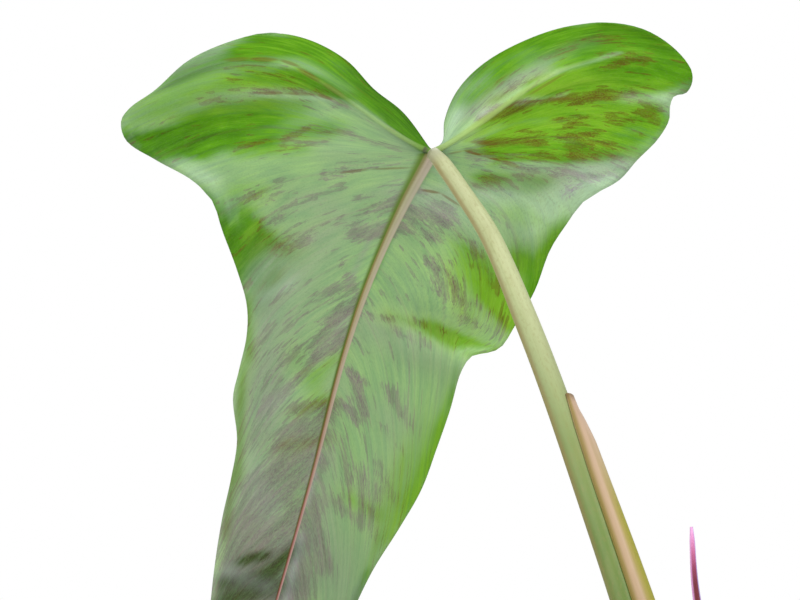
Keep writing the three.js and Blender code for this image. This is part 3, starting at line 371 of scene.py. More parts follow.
# Where the brown mottling is dense
MOTTLE_STROKES = [
    (-60, 25, -49, 26, 1, 0.5), (-53, 23.5, -38.5, 22, 1, 0.4), (-52.5, 18, -33.5, 18, 1, 0.6),
    (-48.5, 19, -40, 18.5, 1, 0.5), (-65.5, 15.5, -55.5, 16.5, 2, 0.5), (-33.5, 16.5, -24, 13, 1, 0.5),
    (-44, 3.5, -36.5, 7, 1, 0.9), (-58, 1, -48, 3.5, 1, 0.7), (-43, 2, -31.5, 3, 1, 0.8),
    (-32.5, 6, -24, 6.5, 1, 0.6), (-25.5, 5.5, -10.5, 1, 1, 0.65), (-30, 13, -26.5, 14, 1, 0.6),
    (-32, -6.5, -26, -4.5, 1, 0.9), (-26, -5.5, -20.5, -4.5, 1, 1), (-32.5, -10.5, -25.5, -10.5, 1, 0.6),
    (-25.5, -4.5, -16.5, -3, 1, 0.4), (-22, -13.5, -16.5, -12, 1, 0.7), (-42, -11, -34, -12, 1, 0.3),
    (-55, -13, -45, -13.5, 2, 0.5), (-49, -18.5, -39, -15, 2, 0.55), (-49.5, -22.5, -41.5, -20, 1.5, 0.35),
    (-38.5, -19, -29.5, -16.5, 1, 0.45), (-52, -26, -42, -26, 2.5, 0.35), (-45, -29, -36, -25, 2, 0.7),
    (-27, -20.5, -17, -18.5, 1.5, 0.4), (-21, -23.5, -14, -23, 2, 2), (-17, -16, -10, -15.5, 2, 0.7),
    (-49, -38.5, -42, -34, 2, 0.1), (-30, -49.5, -23.5, -46, 2, 1.3), (-46.5, -43.5, -39, -39.5, 2, 0.5),
    (-33, -41.5, -24, -39, 2, 0.7), (-40, -49, -30, -44, 2.5, 0.35), (-38, -57, -25.5, -52, 2, 0.5),
    (-37, -59, -26, -57, 2, 0.15), (-33.5, -60, -27.5, -55, 2, 1.2), (-43.5, -70, -37, -64.5, 2, 0.8),
    (-46, -58.5, -37, -52.5, 2.5, 0.25), (-52, -58.5, -48, -52.5, 2, 0.5),
    (-51.5, -68.5, -44, -61.5, 2.5, 0.5), (-50, -76, -46, -71, 2, 0.5), (-39, -75.5, -30, -74.5, 2, 1.1),
    (-42, -82, -32.5, -79, 2.5, 1.2), (-43.5, -86.5, -34, -84, 3, 1), (-46, -97, -37, -91.5, 3.5, 1.3),
    (-53, -98, -41.5, -91.5, 4, 0.75), (-53.5, -85, -48, -76, 3.5, 0.5), (-39, -102.5, -33.5, -94, 2, 0.6),
    (-56.5, -109.5, -43.5, -99.5, 4.5, 0.9), (-50, -115, -39, -107, 3.5, 1.3),
    (-39, -108.5, -36.5, -120.5, 2.5, 0.6), (-59, -126.5, -52, -124, 2.5, 1),
    (-51.5, -122, -40, -115.5, 2.5, 0.9), (-61, -129, -42, -124, 4.5, 0.75),
    (-56.5, -133.5, -42, -131, 4, 1.1), (-59, -120.5, -53.5, -114.5, 2.5, 0.9),
    (-12, -12.5, -7, -12.5, 1, 0.8), (-4.5, -11, 6, -17.5, 1, 0.9), (-7, -17, 4, -20, 2.5, 1.1),
    (-9, -22, 0, -25, 2, 0.9), (3.5, -7, 20, -10, 1, 0.3), (12, -4.5, 22.5, -11, 1, 0.6),
    (17.5, -19, 23.5, -20.5, 1, 0.6), (6, -23.5, 11, -31.5, 2.5, 0.15), (-8.5, -29.5, -0.5, -34, 2, 0.25),
    (-14, -41.5, -9, -43, 1, 0.6), (-20.5, -48, -12, -49, 1, 0.8), (-10.5, -52.5, -2.5, -56.5, 1.5, 0.7),
    (-7, -48, 2.5, -51.5, 1.5, 0.1), (13.5, -45, 20.5, -49.5, 2, 0.6), (9, -49, 19.5, -53.5, 2, 0.6),
    (0.5, -32.5, 6.5, -38.5, 2, 0.9), (0, -39, 7, -43.5, 2.5, 0.7), (-26, -34, -22, -42.5, 1.5, 0.8),
    (-21, -56.5, -17.5, -61.5, 1, 0.5), (9, -25, 20, -29, 1.5, 0.6), (14, -30.5, 17.5, -38.5, 2, 0.7),
    (-2.5, -50, 3, -53, 1, 0.7), (-24, -65, -20.5, -67.5, 1.5, 0.8), (-22.5, -68.5, -20, -76.5, 2, 0.8),
    (-26.5, -74.5, -23.5, -76.5, 1, 0.9), (-25, -76, -22.5, -79.5, 1, 1), (-13.5, -68.5, -10, -71, 1, 0.8),
    (-26, -85, -23.5, -94, 1.5, 0.45), (-23.5, -98.5, -19, -105, 2.5, 0.6),
    (-19.5, -102.5, -16.5, -114.5, 2, 0.35), (-23.5, -94, -19.5, -98.5, 2.5, 0.5),
    (-35.5, -102.5, -34, -115, 2, 1.1), (-35, -109, -31.5, -120.5, 2.5, 1.1),
    (-41.5, -118, -38.5, -125, 1, 0.8), (-27, -104, -22, -108.5, 2.5, 0.8), (-20, -94, -16.5, -101, 2, 0.5),
    (-15.5, -92.5, -12, -101, 2, 0.7), (-12, -72, -7.5, -79, 2, 0.7), (-14, -81.5, -10, -86.5, 2, 0.5),
    (18.5, 13, 29, 15.5, 1, 0.6), (16, 10.5, 25.5, 13, 1.5, 1.2), (31.5, 15, 47, 15.5, 1, 0.9),
    (38, 16, 52, 17, 1.5, 0.7), (50.5, 17.5, 60, 17.5, 2, 0.75), (51.5, 25, 55.5, 25.5, 1, 0.9),
    (55.5, 27, 63.5, 27.5, 1, 0.8), (49.5, 28.5, 65, 29.5, 1, 0.6), (38, 15, 43.5, 14, 1, 0.7),
    (36.5, 9.5, 46, 10, 1, 0.9), (52.5, 10, 64.5, 11, 2, 0.6), (38, 4.5, 48.5, 5.5, 1, 0.85),
    (40, 7, 42, 7.5, 1, 0.7), (15.5, 3, 31.5, 3, 1.5, 1), (26, 6, 33.5, 5.5, 1, 0.6),
    (11, 0.5, 32, -2, 1, 0.7), (43, 2, 51.5, 2, 2.5, 0.65), (49.5, -1, 54.5, -2, 1, 0.6),
    (32, -0.5, 43.5, -2, 1, 0.7), (20, -3, 30.5, -5.5, 1.5, 0.7), (25, -6.5, 30, -7, 1, 0.7),
    (30, -4.5, 49.5, -6, 2, 0.3), (38, -6, 45, -7, 1.5, 0.7), (11, -1, 20, -4, 1, 0.6),
    (14, -10, 23, -13, 1, 0.6), (33, -12, 45, -12.5, 1, 0.6), (41.5, -9.5, 55.5, -5.5, 2, 0.45),
    (13, 11, 21, 17.5, 2, 0.3), (24, 19.5, 30.5, 23, 1.5, 0.6), (33, 27.5, 41.5, 30.5, 1, 0.5),
    (38, 31.5, 46.5, 33.5, 1, 0.4), (21, 20, 26, 23, 1, 0.2), (45.5, 33, 53.5, 34, 1, 0.7),
    (42.5, -1.5, 57, -1.5, 2, 0.5), (-64.5, -120.5, -56.5, -111.5, 2.5, 0.5), (49.5, 32, 56, 33, 1, 0.5),
    (59, 15.5, 67.5, 13.5, 1.5, 0.6),
]
# Fine red-brown lines beside the lobe ribs and along the veins that branch off them
BRANCH_VEINS = [
    (4.5, -0.5, 9.5, 0.5, 0.15, 0.4), (9.5, 0.5, 15, -1, 0.18, 0.8), (15, -1, 20.5, -2.5, 0.18, 0.7),
    (-27, -6, -18.5, -5, 0.18, 0.5), (-18.5, -5, -6, -4.5, 0.15, 0.45), (-3.5, -11, 2.5, -12, 0.21, 0.6),
    (2.5, -12, 8.5, -16, 0.18, 0.5), (20.5, -2.5, 26, -4.5, 0.32, 0.5), (-61.5, 27, -53.5, 27.5, 0.24, 0.4),
    (-53.5, 27.5, -45, 27, 0.24, 0.5), (-45, 27, -39, 25, 0.24, 0.5), (-40, 25, -32.5, 20.5, 0.27, 0.45),
    (-32.5, 20.5, -25.5, 16, 0.27, 0.35), (-52.5, 17.5, -43.5, 17.5, 0.24, 0.5),
    (-43.5, 17.5, -34, 17, 0.24, 0.5), (-34, 17, -28.5, 15.5, 0.24, 0.55), (13.5, 8.5, 20, 12.5, 0.21, 0.5),
    (20, 12.5, 27, 16, 0.21, 0.45), (27, 16, 39.5, 23.5, 0.18, 0.4), (11, 3, 17.5, 3, 0.27, 0.45),
    (24, 14.5, 33.5, 15.5, 0.21, 0.6), (33.5, 15.5, 42, 16, 0.21, 0.5), (11, 3, 20, 2, 0.15, 0.4),
]


# Curves
def value_at(pairs, positions):
    xs, ys = zip(*pairs)
    return np.interp(positions, xs, ys)


class Curve:
    """A line of points, read by its share of arc length."""

    def __init__(self, line):
        self.line = np.array(line)
        steps = np.linalg.norm(np.diff(self.line, axis=0), axis=1)
        self.length = steps.sum()
        self.shares = np.concatenate([[0], np.cumsum(steps)]) / self.length

    def at(self, share):
        return np.stack([np.interp(share, self.shares, self.line[:, k]) for k in range(3)], axis=-1)

    def tangent(self, share):
        step = 1e-3
        ahead = self.at(np.minimum(np.asarray(share) + step, 1))
        behind = self.at(np.maximum(np.asarray(share) - step, 0))
        return (ahead - behind) / np.linalg.norm(ahead - behind, axis=-1, keepdims=True)


def spline(points, before=None, after=None, divisions=60):
    """A centripetal Catmull-Rom curve through points, run in and out straight or from the points given."""
    p = np.array([(*q, 0)[:3] for q in points], float)
    first = 2 * p[0] - p[1] if before is None else (*before, 0)
    last = 2 * p[-1] - p[-2] if after is None else (*after, 0)
    p = np.vstack([first, p, last])
    line = [p[1]]
    for i in range(1, len(p) - 2):
        d0, d1, d2 = (max(np.linalg.norm(p[i + k] - p[i + k - 1]) ** 0.5, 1e-6) for k in range(3))
        m1 = ((p[i] - p[i - 1]) / d0 - (p[i + 1] - p[i - 1]) / (d0 + d1) + (p[i + 1] - p[i]) / d1) * d1
        m2 = ((p[i + 1] - p[i]) / d1 - (p[i + 2] - p[i]) / (d1 + d2) + (p[i + 2] - p[i + 1]) / d2) * d1
        for t in np.linspace(0, 1, divisions + 1)[1:]:
            h00, h10 = 2 * t**3 - 3 * t**2 + 1, t**3 - 2 * t**2 + t
            h01, h11 = 3 * t**2 - 2 * t**3, t**3 - t**2
            line.append(h00 * p[i] + h10 * m1 + h01 * p[i + 1] + h11 * m2)
    return Curve(line)


def bezier(a, b, c, d, divisions=200):
    t = np.linspace(0, 1, divisions)[:, None]
    a, b, c, d = (np.array(q, float) for q in (a, b, c, d))
    return Curve((1 - t) ** 3 * a + 3 * (1 - t) ** 2 * t * b + 3 * (1 - t) * t**2 * c + t**3 * d)


def share_at_height(curve, height):
    """The share of a rising curve's length where it first passes a height."""
    return float(curve.shares[np.argmax(curve.line[:, 2] > height)])


SHEATH_TIP_SHARE = share_at_height(spline(PETIOLE_PATH), SHEATH_TOP)


# Meshes
def make_object(name, points, faces, uvs=None, attributes=None, smooth=True):
    mesh = bpy.data.meshes.new(name)
    mesh.from_pydata((np.asarray(points) * MM).tolist(), [], faces)
    if uvs is not None:
        layer = mesh.uv_layers.new(name="UVMap")
        flat = [uvs[f][k] for f in range(len(faces)) for k in range(len(faces[f]))]
        layer.data.foreach_set("uv", np.array(flat, np.float32).ravel())
    for key, values in (attributes or {}).items():
        data = mesh.attributes.new(key, "FLOAT", "POINT").data
        data.foreach_set("value", np.asarray(values, np.float32))
    mesh.polygons.foreach_set("use_smooth", [smooth] * len(mesh.polygons))
    mesh.update()
    obj = bpy.data.objects.new(name, mesh)
    bpy.context.collection.objects.link(obj)
    return obj


def dress(obj, material, slot, *nodes):
    """Gives a piece its materials and the nodes that it replaces, if any; its slot is not used."""
    for each in material if isinstance(material, tuple) else (material,):
        obj.data.materials.append(each)
    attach(obj, "root")
    if nodes:
        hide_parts(*nodes)


def ring(radius, sides):
    angles = np.arange(sides) * 2 * math.pi / sides
    return np.stack([radius * np.cos(angles), radius * np.sin(angles)], axis=1)


def sweep(name, curve, shares, section_at, side=(1, 0, 0)):
    """A closed section swept along a curve, its first axis nearest to the side direction."""
    side = np.array(side, float)
    points, uvs, faces, around = [], [], [], []
    for share in shares:
        centre, tangent = curve.at(share), curve.tangent(share)
        across = side - tangent * side.dot(tangent)
        across /= np.linalg.norm(across)
        over = np.cross(tangent, across)
        section = np.array(section_at(share))
        points.extend(centre + section[:, :1] * across + section[:, 1:] * over)
        around.extend(np.arange(len(section)) / len(section))
    count = len(section)
    lengths = np.asarray(shares) * curve.length
    girth = np.linalg.norm(np.diff(section, axis=0), axis=1).sum()
    for k in range(len(shares) - 1):
        for i in range(count):
            j = (i + 1) % count
            faces.append((k * count + i, k * count + j, (k + 1) * count + j, (k + 1) * count + i))
            v0, v1 = i / count * girth, (i + 1) / count * girth
            uvs.append(((lengths[k], v0), (lengths[k], v1), (lengths[k + 1], v1), (lengths[k + 1], v0)))
    last = (len(shares) - 1) * count
    for cap, share in ((list(range(count))[::-1], 0), (list(range(last, last + count)), -1)):
        faces.append(tuple(cap))
        uvs.append(tuple((lengths[share], i / count * girth) for i in range(count)))
    return make_object(name, points, faces, uvs, {"length_share": np.repeat(shares, count), "around": around})


# Blade form
def distance_to_line(x, y, x0, y0, x1, y1):
    dx, dy = x1 - x0, y1 - y0
    share = np.clip(((x - x0) * dx + (y - y0) * dy) / (dx * dx + dy * dy), 0, 1)
    return np.hypot(x - x0 - share * dx, y - y0 - share * dy)


def blade_relief(x, y, along, out, reach, sign):
    """Height of the plate: the tip falls, the lobes rise, the edge falls and waves, and folds stand out."""
    down, up = np.minimum(y, 0), np.maximum(y, 0)
    swing = TIP_FALL * down * (1 + down / (2 * SWING_LENGTH)) + LOBE_RISE * up
    fall = EDGE_FALL * reach * out**EDGE_FALL_POWER
    wave_height = WAVE_HEIGHT * out**2 * np.minimum((1 - along) / CALM_TIP, 1)
    wave = wave_height * np.sin(2 * math.pi * WAVE_COUNT * along + sign)
    folds = 0
    for *line, width, height in FOLDS:
        folds = folds + height * np.exp(-((distance_to_line(x, y, *line) / width) ** 2))
    return swing - fall + wave + folds * np.minimum(out / FOLD_START, 1)


def keel_height(along, out, side, outer_length):
    """The lobe's rib stands up as a keel, and the strip between it and the inner margin folds back."""
    off_rib = (along - side["rib_end"]) * outer_length * out
    fade = np.clip((side["fan_end"] - along) / (side["fan_end"] - side["rib_end"]), 0, 1)
    keel = KEEL_RISE * fade * np.exp(-((off_rib / KEEL_WIDTH) ** 2))
    strip = STRIP_FOLD * max(1 - along / side["rib_end"], 0)
    return (keel - strip) * np.sin(math.pi * out).clip(0) ** KEEL_FULLNESS


def clustered(first, last, count, power):
    """Positions from first to last, closer together near first."""
    return [first + (last - first) * (i / count) ** power for i in range(1, count + 1)]


def vein_rows(side, midrib, counts):
    """Rows of plate points from the rib to the edge, as the veins run."""
    inner = spline(side["inner"], after=side["outer"][1])
    outer = spline(side["outer"], before=side["inner"][-2])
    rib_end, fan_end, lengthwise = side["rib_end"], side["fan_end"], counts["lengthwise"]
    starts = [(a, 0) for a in clustered(rib_end, 0, counts["strip"], STRIP_CROWDING)[::-1]]
    starts += [(rib_end, 0)]
    starts += [(a, 0) for a in clustered(rib_end, fan_end, counts["fan"], ROW_CROWDING)]
    starts += [(a, i + 1) for i, a in enumerate(clustered(fan_end, 1, lengthwise, 1 / ROW_CROWDING)[:-1])]
    out = (np.arange(1, counts["across"] + 1) / counts["across"]) ** ROW_CROWDING
    rows = []
    for along, rib in starts:
        start, end = midrib.at(rib / lengthwise), outer.at(along)
        chord = end - start
        reach = np.linalg.norm(chord)
        upward = np.array([-chord[1], chord[0], 0]) / reach * side["sign"]
        inner_share = max(1 - along / rib_end, 0)
        bow = value_at(side["bows"], along) * reach * np.sin(math.pi * out**BOW_LEAN)
        strayed = inner.at(out) - inner.at(1) * out[:, None]
        points = start + chord * out[:, None]
        points += upward * bow[:, None] * (1 - inner_share) + strayed * inner_share
        points[:, 2] = blade_relief(points[:, 0], points[:, 1], along, out, reach, side["sign"])
        points[:, 2] += keel_height(along, out, side, outer.length)
        rows.append(dict(along=along, rib=rib, out=out, reach=reach, points=points, length=outer.length))
    return rows


def rib_form(side, row, midrib_width):
    """Along a row: how far the ribs stand up, its distance off the midrib, and the lobe rib's share."""
    out, sign = row["out"], side["sign"]
    if row["along"] >= side["fan_end"]:
        offset = row["reach"] * out / midrib_width
        rise = MIDRIB_RISE * midrib_width * np.exp(-(offset**2))
        return rise, sign * np.minimum(offset, FAR_OFF_RIB), np.zeros_like(out)
    gap = abs(row["along"] - side["rib_end"]) * row["length"] * out
    fade = np.clip(LOBE_RIB_REACH - out, 0, 1) ** LOBE_RIB_FADE
    width = LOBE_RIB_WIDTH * (LOBE_RIB_FOOT - LOBE_RIB_TAPER * out)
    lobe = np.exp(-((gap / width) ** 2)) * fade
    paleness = LEFT_RIB_PALENESS if sign < 0 else 1
    return LOBE_RIB_RISE * lobe, np.full_like(out, sign * FAR_OFF_RIB), lobe * paleness


def vein_places(side, row, along):
    """Texture places along a row, in millimetres out and along the edge, slanted towards the tip."""
    out = np.concatenate([[0], row["out"]])
    low = np.clip((along - side["fan_end"]) / SLANT_START, 0, 1)
    shift = 0 if side["sign"] < 0 else RIGHT_VEIN_SHIFT
    slant = side["slant"] * low * row["reach"] * out**SLANT_POWER
    return out * row["reach"], shift + along * row["length"] - slant


def faces_between(side, rows, index, flip):
    """Faces between neighbouring rows and their texture places, without the corners that fall together."""
    faces, uvs = [], []
    for r, row in enumerate(rows):
        u, v0 = vein_places(side, row, row["along"])
        v1 = vein_places(side, row, rows[r + 1]["along"] if r + 1 < len(rows) else 1)[1]
        for j in range(len(row["out"])):
            corners = [index[r][j], index[r][j + 1], index[r + 1][j + 1], index[r + 1][j]]
            places = [(u[j], v0[j]), (u[j + 1], v0[j + 1]), (u[j + 1], v1[j + 1]), (u[j], v1[j])]
            keep = [k for k in range(4) if corners[k] != corners[k - 1]]
            if len(keep) < 3:
                continue
            if flip:
                keep.reverse()
            faces.append(tuple(corners[k] for k in keep))
            uvs.append(tuple(places[k] for k in keep))
    return faces, uvs


def blade(name, counts, place, mirror=False):
    """A closed blade with a raised midrib and lobe ribs, and what its material reads from it."""
    midrib = spline(MIDRIB)
    tip, across = counts["lengthwise"], counts["across"]
    shares = np.arange(tip + 1) / tip
    spine = midrib.at(shares)
    spine[:, 2] = blade_relief(spine[:, 0], spine[:, 1], 0, 0, 0, 1)
    on_rib = np.zeros(tip + 1)
    parts = [(spine, on_rib, MIDRIB_RISE * value_at(MIDRIB_WIDTHS, shares), on_rib, on_rib)]
    faces, uvs, edges = [], [], []
    first = tip + 1
    for side in (LEFT_SIDE, RIGHT_SIDE):
        rows, index = vein_rows(side, midrib, counts), []
        for row in rows:
            index.append([row["rib"], *range(first, first + across)])
            first += across
            midrib_width = value_at(MIDRIB_WIDTHS, row["rib"] / tip)
            parts.append((row["points"], row["out"], *rib_form(side, row, midrib_width)))
        index.append([tip] * (across + 1))
        own_faces, own_uvs = faces_between(side, rows, index, (side["sign"] < 0) == mirror)
        faces += own_faces
        uvs += own_uvs
        edges.append([*index[0], *(r[across] for r in index[1:-1])])
    flat, out, rises, rib_offset, lobe_rib = (np.concatenate(values) for values in zip(*parts))
    loop = edges[0] + [tip] + edges[1][::-1][:-1]
    if mirror:
        loop.reverse()
    half = BLADE_HALF * (1 - EDGE_THINNING * out**6)
    fields = dict(rib_offset=rib_offset, lobe_rib=lobe_rib, **markings(flat[:, 0], flat[:, 1]))
    return thickened(name, place(flat), half, rises, faces, uvs, loop, fields)


def thickened(name, sheet, half, rises, faces, uvs, loop, fields):
    """A sheet made into a closed body, with the rises on its underside and the fields on both faces."""
    normals = np.zeros_like(sheet)
    for face in faces:
        a, b, c = sheet[face[0]], sheet[face[1]], sheet[face[2]]
        normals[list(face)] += np.cross(b - a, c - a)
    normals /= np.linalg.norm(normals, axis=1, keepdims=True)
    under = sheet + normals * (half + rises)[:, None]
    over = sheet - normals * half[:, None]
    n = len(sheet)
    both = list(faces) + [tuple(n + i for i in face[::-1]) for face in faces]
    both_uvs = list(uvs) + [uv[::-1] for uv in uvs]
    for k, p in enumerate(loop):
        q = loop[(k + 1) % len(loop)]
        both.append((n + p, n + q, q, p))
        both_uvs.append(((0, 0), (1, 0), (1, 1), (0, 1)))
    attributes = {key: np.tile(values, 2) for key, values in fields.items()}
    leaf = make_object(name, np.vstack([under, over]), both, both_uvs, attributes)
    tops = [0] * len(faces) + [1] * len(faces) + [0] * len(loop)
    leaf.data.polygons.foreach_set("material_index", tops)
    return leaf


# Markings on a blade, laid on its plate as soft strokes
def stroke_reach(x, y, x0, y0, x1, y1, width):
    """Squared distance from a line in widths, with past its ends counted for less so that they fade out."""
    dx, dy = x1 - x0, y1 - y0
    length = math.hypot(dx, dy)
    along = ((x - x0) * dx + (y - y0) * dy) / length
    past = np.maximum(np.abs(along - length / 2) - length / 2, 0)
    off = ((x - x0) * dy - (y - y0) * dx) / length
    return (off / width) ** 2 + (past / (STROKE_END * width)) ** 2


def soft_strokes(x, y, strokes):
    """Several soft strokes laid over each other, each a line from one plate point to another with a width."""
    left = np.ones_like(x)
    for *line, width, strength in strokes:
        left *= 1 - np.minimum(strength * np.exp(-stroke_reach(x, y, *line, width)), 1)
    return 1 - left


def stroke_tone(x, y, strokes):
    """The tone of the strokes that reach each point, weighted by how near they are."""
    total, weights = np.full_like(x, WEIGHT_ELSEWHERE * TONE_ELSEWHERE), np.full_like(x, WEIGHT_ELSEWHERE)
    for *line, width, strength, tone in strokes:
        weight = strength * np.exp(-TONE_CLOSENESS * stroke_reach(x, y, *line, width))
        total += weight * tone
        weights += weight
    return total / weights


def markings(x, y):
    """What the blade's materials read at each plate point."""
    return dict(
        # The thin-veil mask, the tone whose darker end is painted shade, and the painted highlights, with the
        # haze, mottling and joint spot
        thin_wax_and_sheen=soft_strokes(x, y, [stroke[:-1] for stroke in SHADE_AND_THIN_SHEEN_STROKES]),
        tone=stroke_tone(x, y, SHADE_AND_THIN_SHEEN_STROKES),
        pale=soft_strokes(x, y, PAINTED_HIGHLIGHT_STROKES),
        haze=soft_strokes(x, y, HAZE_STROKES),
        mottle=soft_strokes(x, y, MOTTLE_STROKES),
        joint=np.exp(-((np.hypot(x - JOINT[0], y - JOINT[1]) / JOINT_RADIUS) ** 2)),
        plate_x=x,
        plate_y=y,
        down=np.clip(-y / BLADE_LENGTH, 0, 1),
    )


# Placing a blade in the plant
def plate_axes(out, tilt, spin=0.0):
    """Directions of a plate's own axes: across, towards the lobes, and out of the underside."""
    up, out = Vector((0, 0, 1)), Vector(out)
    under = -out * math.cos(tilt) - up * math.sin(tilt)
    lobes = Matrix.Rotation(spin, 3, under) @ (up * math.cos(tilt) - out * math.sin(tilt))
    return np.array([list(axis) for axis in (lobes.cross(under), lobes, under)])


def eye_placer(origin, axes, eye):
    """Moves plate points to their place, first along their lines to the eye."""

    def place(flat):
        share = flat[:, 2:] / eye[2]
        level = flat * (1, 1, 0)
        return np.array(origin) + (level + (np.array(eye) - level) * share) @ axes

    return place


def placer(origin, axes, width, length, curl, mirror):
    """Moves plate points to their place, made wider or longer, with the tip curled towards the underside."""

    def place(flat):
        p = flat * (-width if mirror else width, length, (width + length) / 2)
        p[:, 2] += curl * (np.minimum(p[:, 1], 0) / CURL_LENGTH) ** 2
        return np.array(origin) + p @ axes

    return place


# Material building
def srgb(r, g, b):
    """A colour given in 0 to 255 as it shows on screen."""
    return tuple((c / 255 / 12.92) if c <= 10 else ((c / 255 + 0.055) / 1.055) ** 2.4 for c in (r, g, b))


class Tree:
    """Short calls for making shader nodes."""

    def __init__(self, name):
        self.material = bpy.data.materials.new(name)
        self.material.use_nodes = True
        self.nodes = self.material.node_tree.nodes
        self.links = self.material.node_tree.links
        self.shader = self.nodes["Principled BSDF"]

    def put(self, socket, value):
        if isinstance(value, bpy.types.NodeSocket):
            self.links.new(value, socket)
        elif isinstance(value, (tuple, list)) and socket.type == "RGBA":
            socket.default_value = (*value, 1)[:4]
        else:
            socket.default_value = value

    def node(self, kind, outlet=0, inputs=None, **settings):
        node = self.nodes.new(kind)
        for key, value in settings.items():
            setattr(node, key, value)
        for key, value in (inputs or {}).items():
            self.put(node.inputs[key], value)
        return node.outputs[outlet]

    def attribute(self, name):
        return self.node("ShaderNodeAttribute", "Fac", attribute_name=name)

    def uv(self, scale_u, scale_v, offset=0.0):
        uv = self.node("ShaderNodeUVMap", uv_map="UVMap")
        inputs = {0: uv, 1: (offset, offset, offset), 3: (scale_u, scale_v, 1)}
        return self.node("ShaderNodeMapping", 0, inputs)

    def local(self, scale=(1, 1, 1)):
        position = self.node("ShaderNodeTexCoord", "Object")
        return self.node("ShaderNodeMapping", 0, {0: position, 3: scale})

    def noise(self, vector, scale=1.0, detail=3.0, roughness=0.55, distortion=0.0):
        inputs = dict(Vector=vector, Scale=scale, Detail=detail, Roughness=roughness, Distortion=distortion)
        return self.node("ShaderNodeTexNoise", 0, inputs)

    def math(self, operation, a, b=0.0, clamp=False):
        return self.node("ShaderNodeMath", 0, {0: a, 1: b}, operation=operation, use_clamp=clamp)

    def vector(self, operation, a, b):
        return self.node("ShaderNodeVectorMath", 0, {0: a, 1: b}, operation=operation)

    def plus(self, a, b, clamp=False):
        return self.math("ADD", a, b, clamp)

    def minus(self, a, b):
        return self.math("SUBTRACT", a, b)

    def times(self, a, b, clamp=False):
        return self.math("MULTIPLY", a, b, clamp)

    def distance(self, a, b):
        return self.math("ABSOLUTE", self.minus(a, b))

    def highest(self, values):
        return reduce(lambda a, b: self.math("MAXIMUM", a, b), values)

    def centred(self, noise, amount, base=0.0):
        """Base plus a noise that swings by the amount about its middle."""
        return self.plus(base, self.times(self.minus(noise, 0.5), amount))

    def step(self, value, low, high):
        """Smooth rise from 0 at low to 1 at high."""
        inputs = {0: value, 1: low, 2: high}
        return self.node("ShaderNodeMapRange", 0, inputs, interpolation_type="SMOOTHSTEP")

    def mix(self, share, a, b, blend="MIX"):
        return self.node("ShaderNodeMix", 2, {0: share, 6: a, 7: b}, data_type="RGBA", blend_type=blend)

    def tint(self, base, colour, share, amount=1):
        """The base with a screen colour laid over it, by a share that counts for the amount."""
        return self.mix(share if amount == 1 else self.times(share, amount), base, srgb(*colour))

    def ramp(self, value, *stops):
        """Screen colours at places from 0 to 1, each stop a place with its red, green and blue."""
        node = self.nodes.new("ShaderNodeValToRGB")
        self.put(node.inputs[0], value)
        while len(node.color_ramp.elements) < len(stops):
            node.color_ramp.elements.new(0.5)
        for element, (place, *colour) in zip(node.color_ramp.elements, stops):
            element.position = place
            element.color = (*srgb(*colour), 1)
        return node.outputs[0]

    def bump(self, height, distance, strength=1.0):
        return self.node("ShaderNodeBump", 0, dict(Height=height, Distance=distance, Strength=strength))

    def finish(self, colour, roughness, normal=None, **constants):
        self.put(self.shader.inputs["Base Color"], colour)
        self.put(self.shader.inputs["Roughness"], roughness)
        if normal is not None:
            self.put(self.shader.inputs["Normal"], normal)
        for key, value in constants.items():
            self.put(self.shader.inputs[key.replace("_", " ")], value)
        return self.material


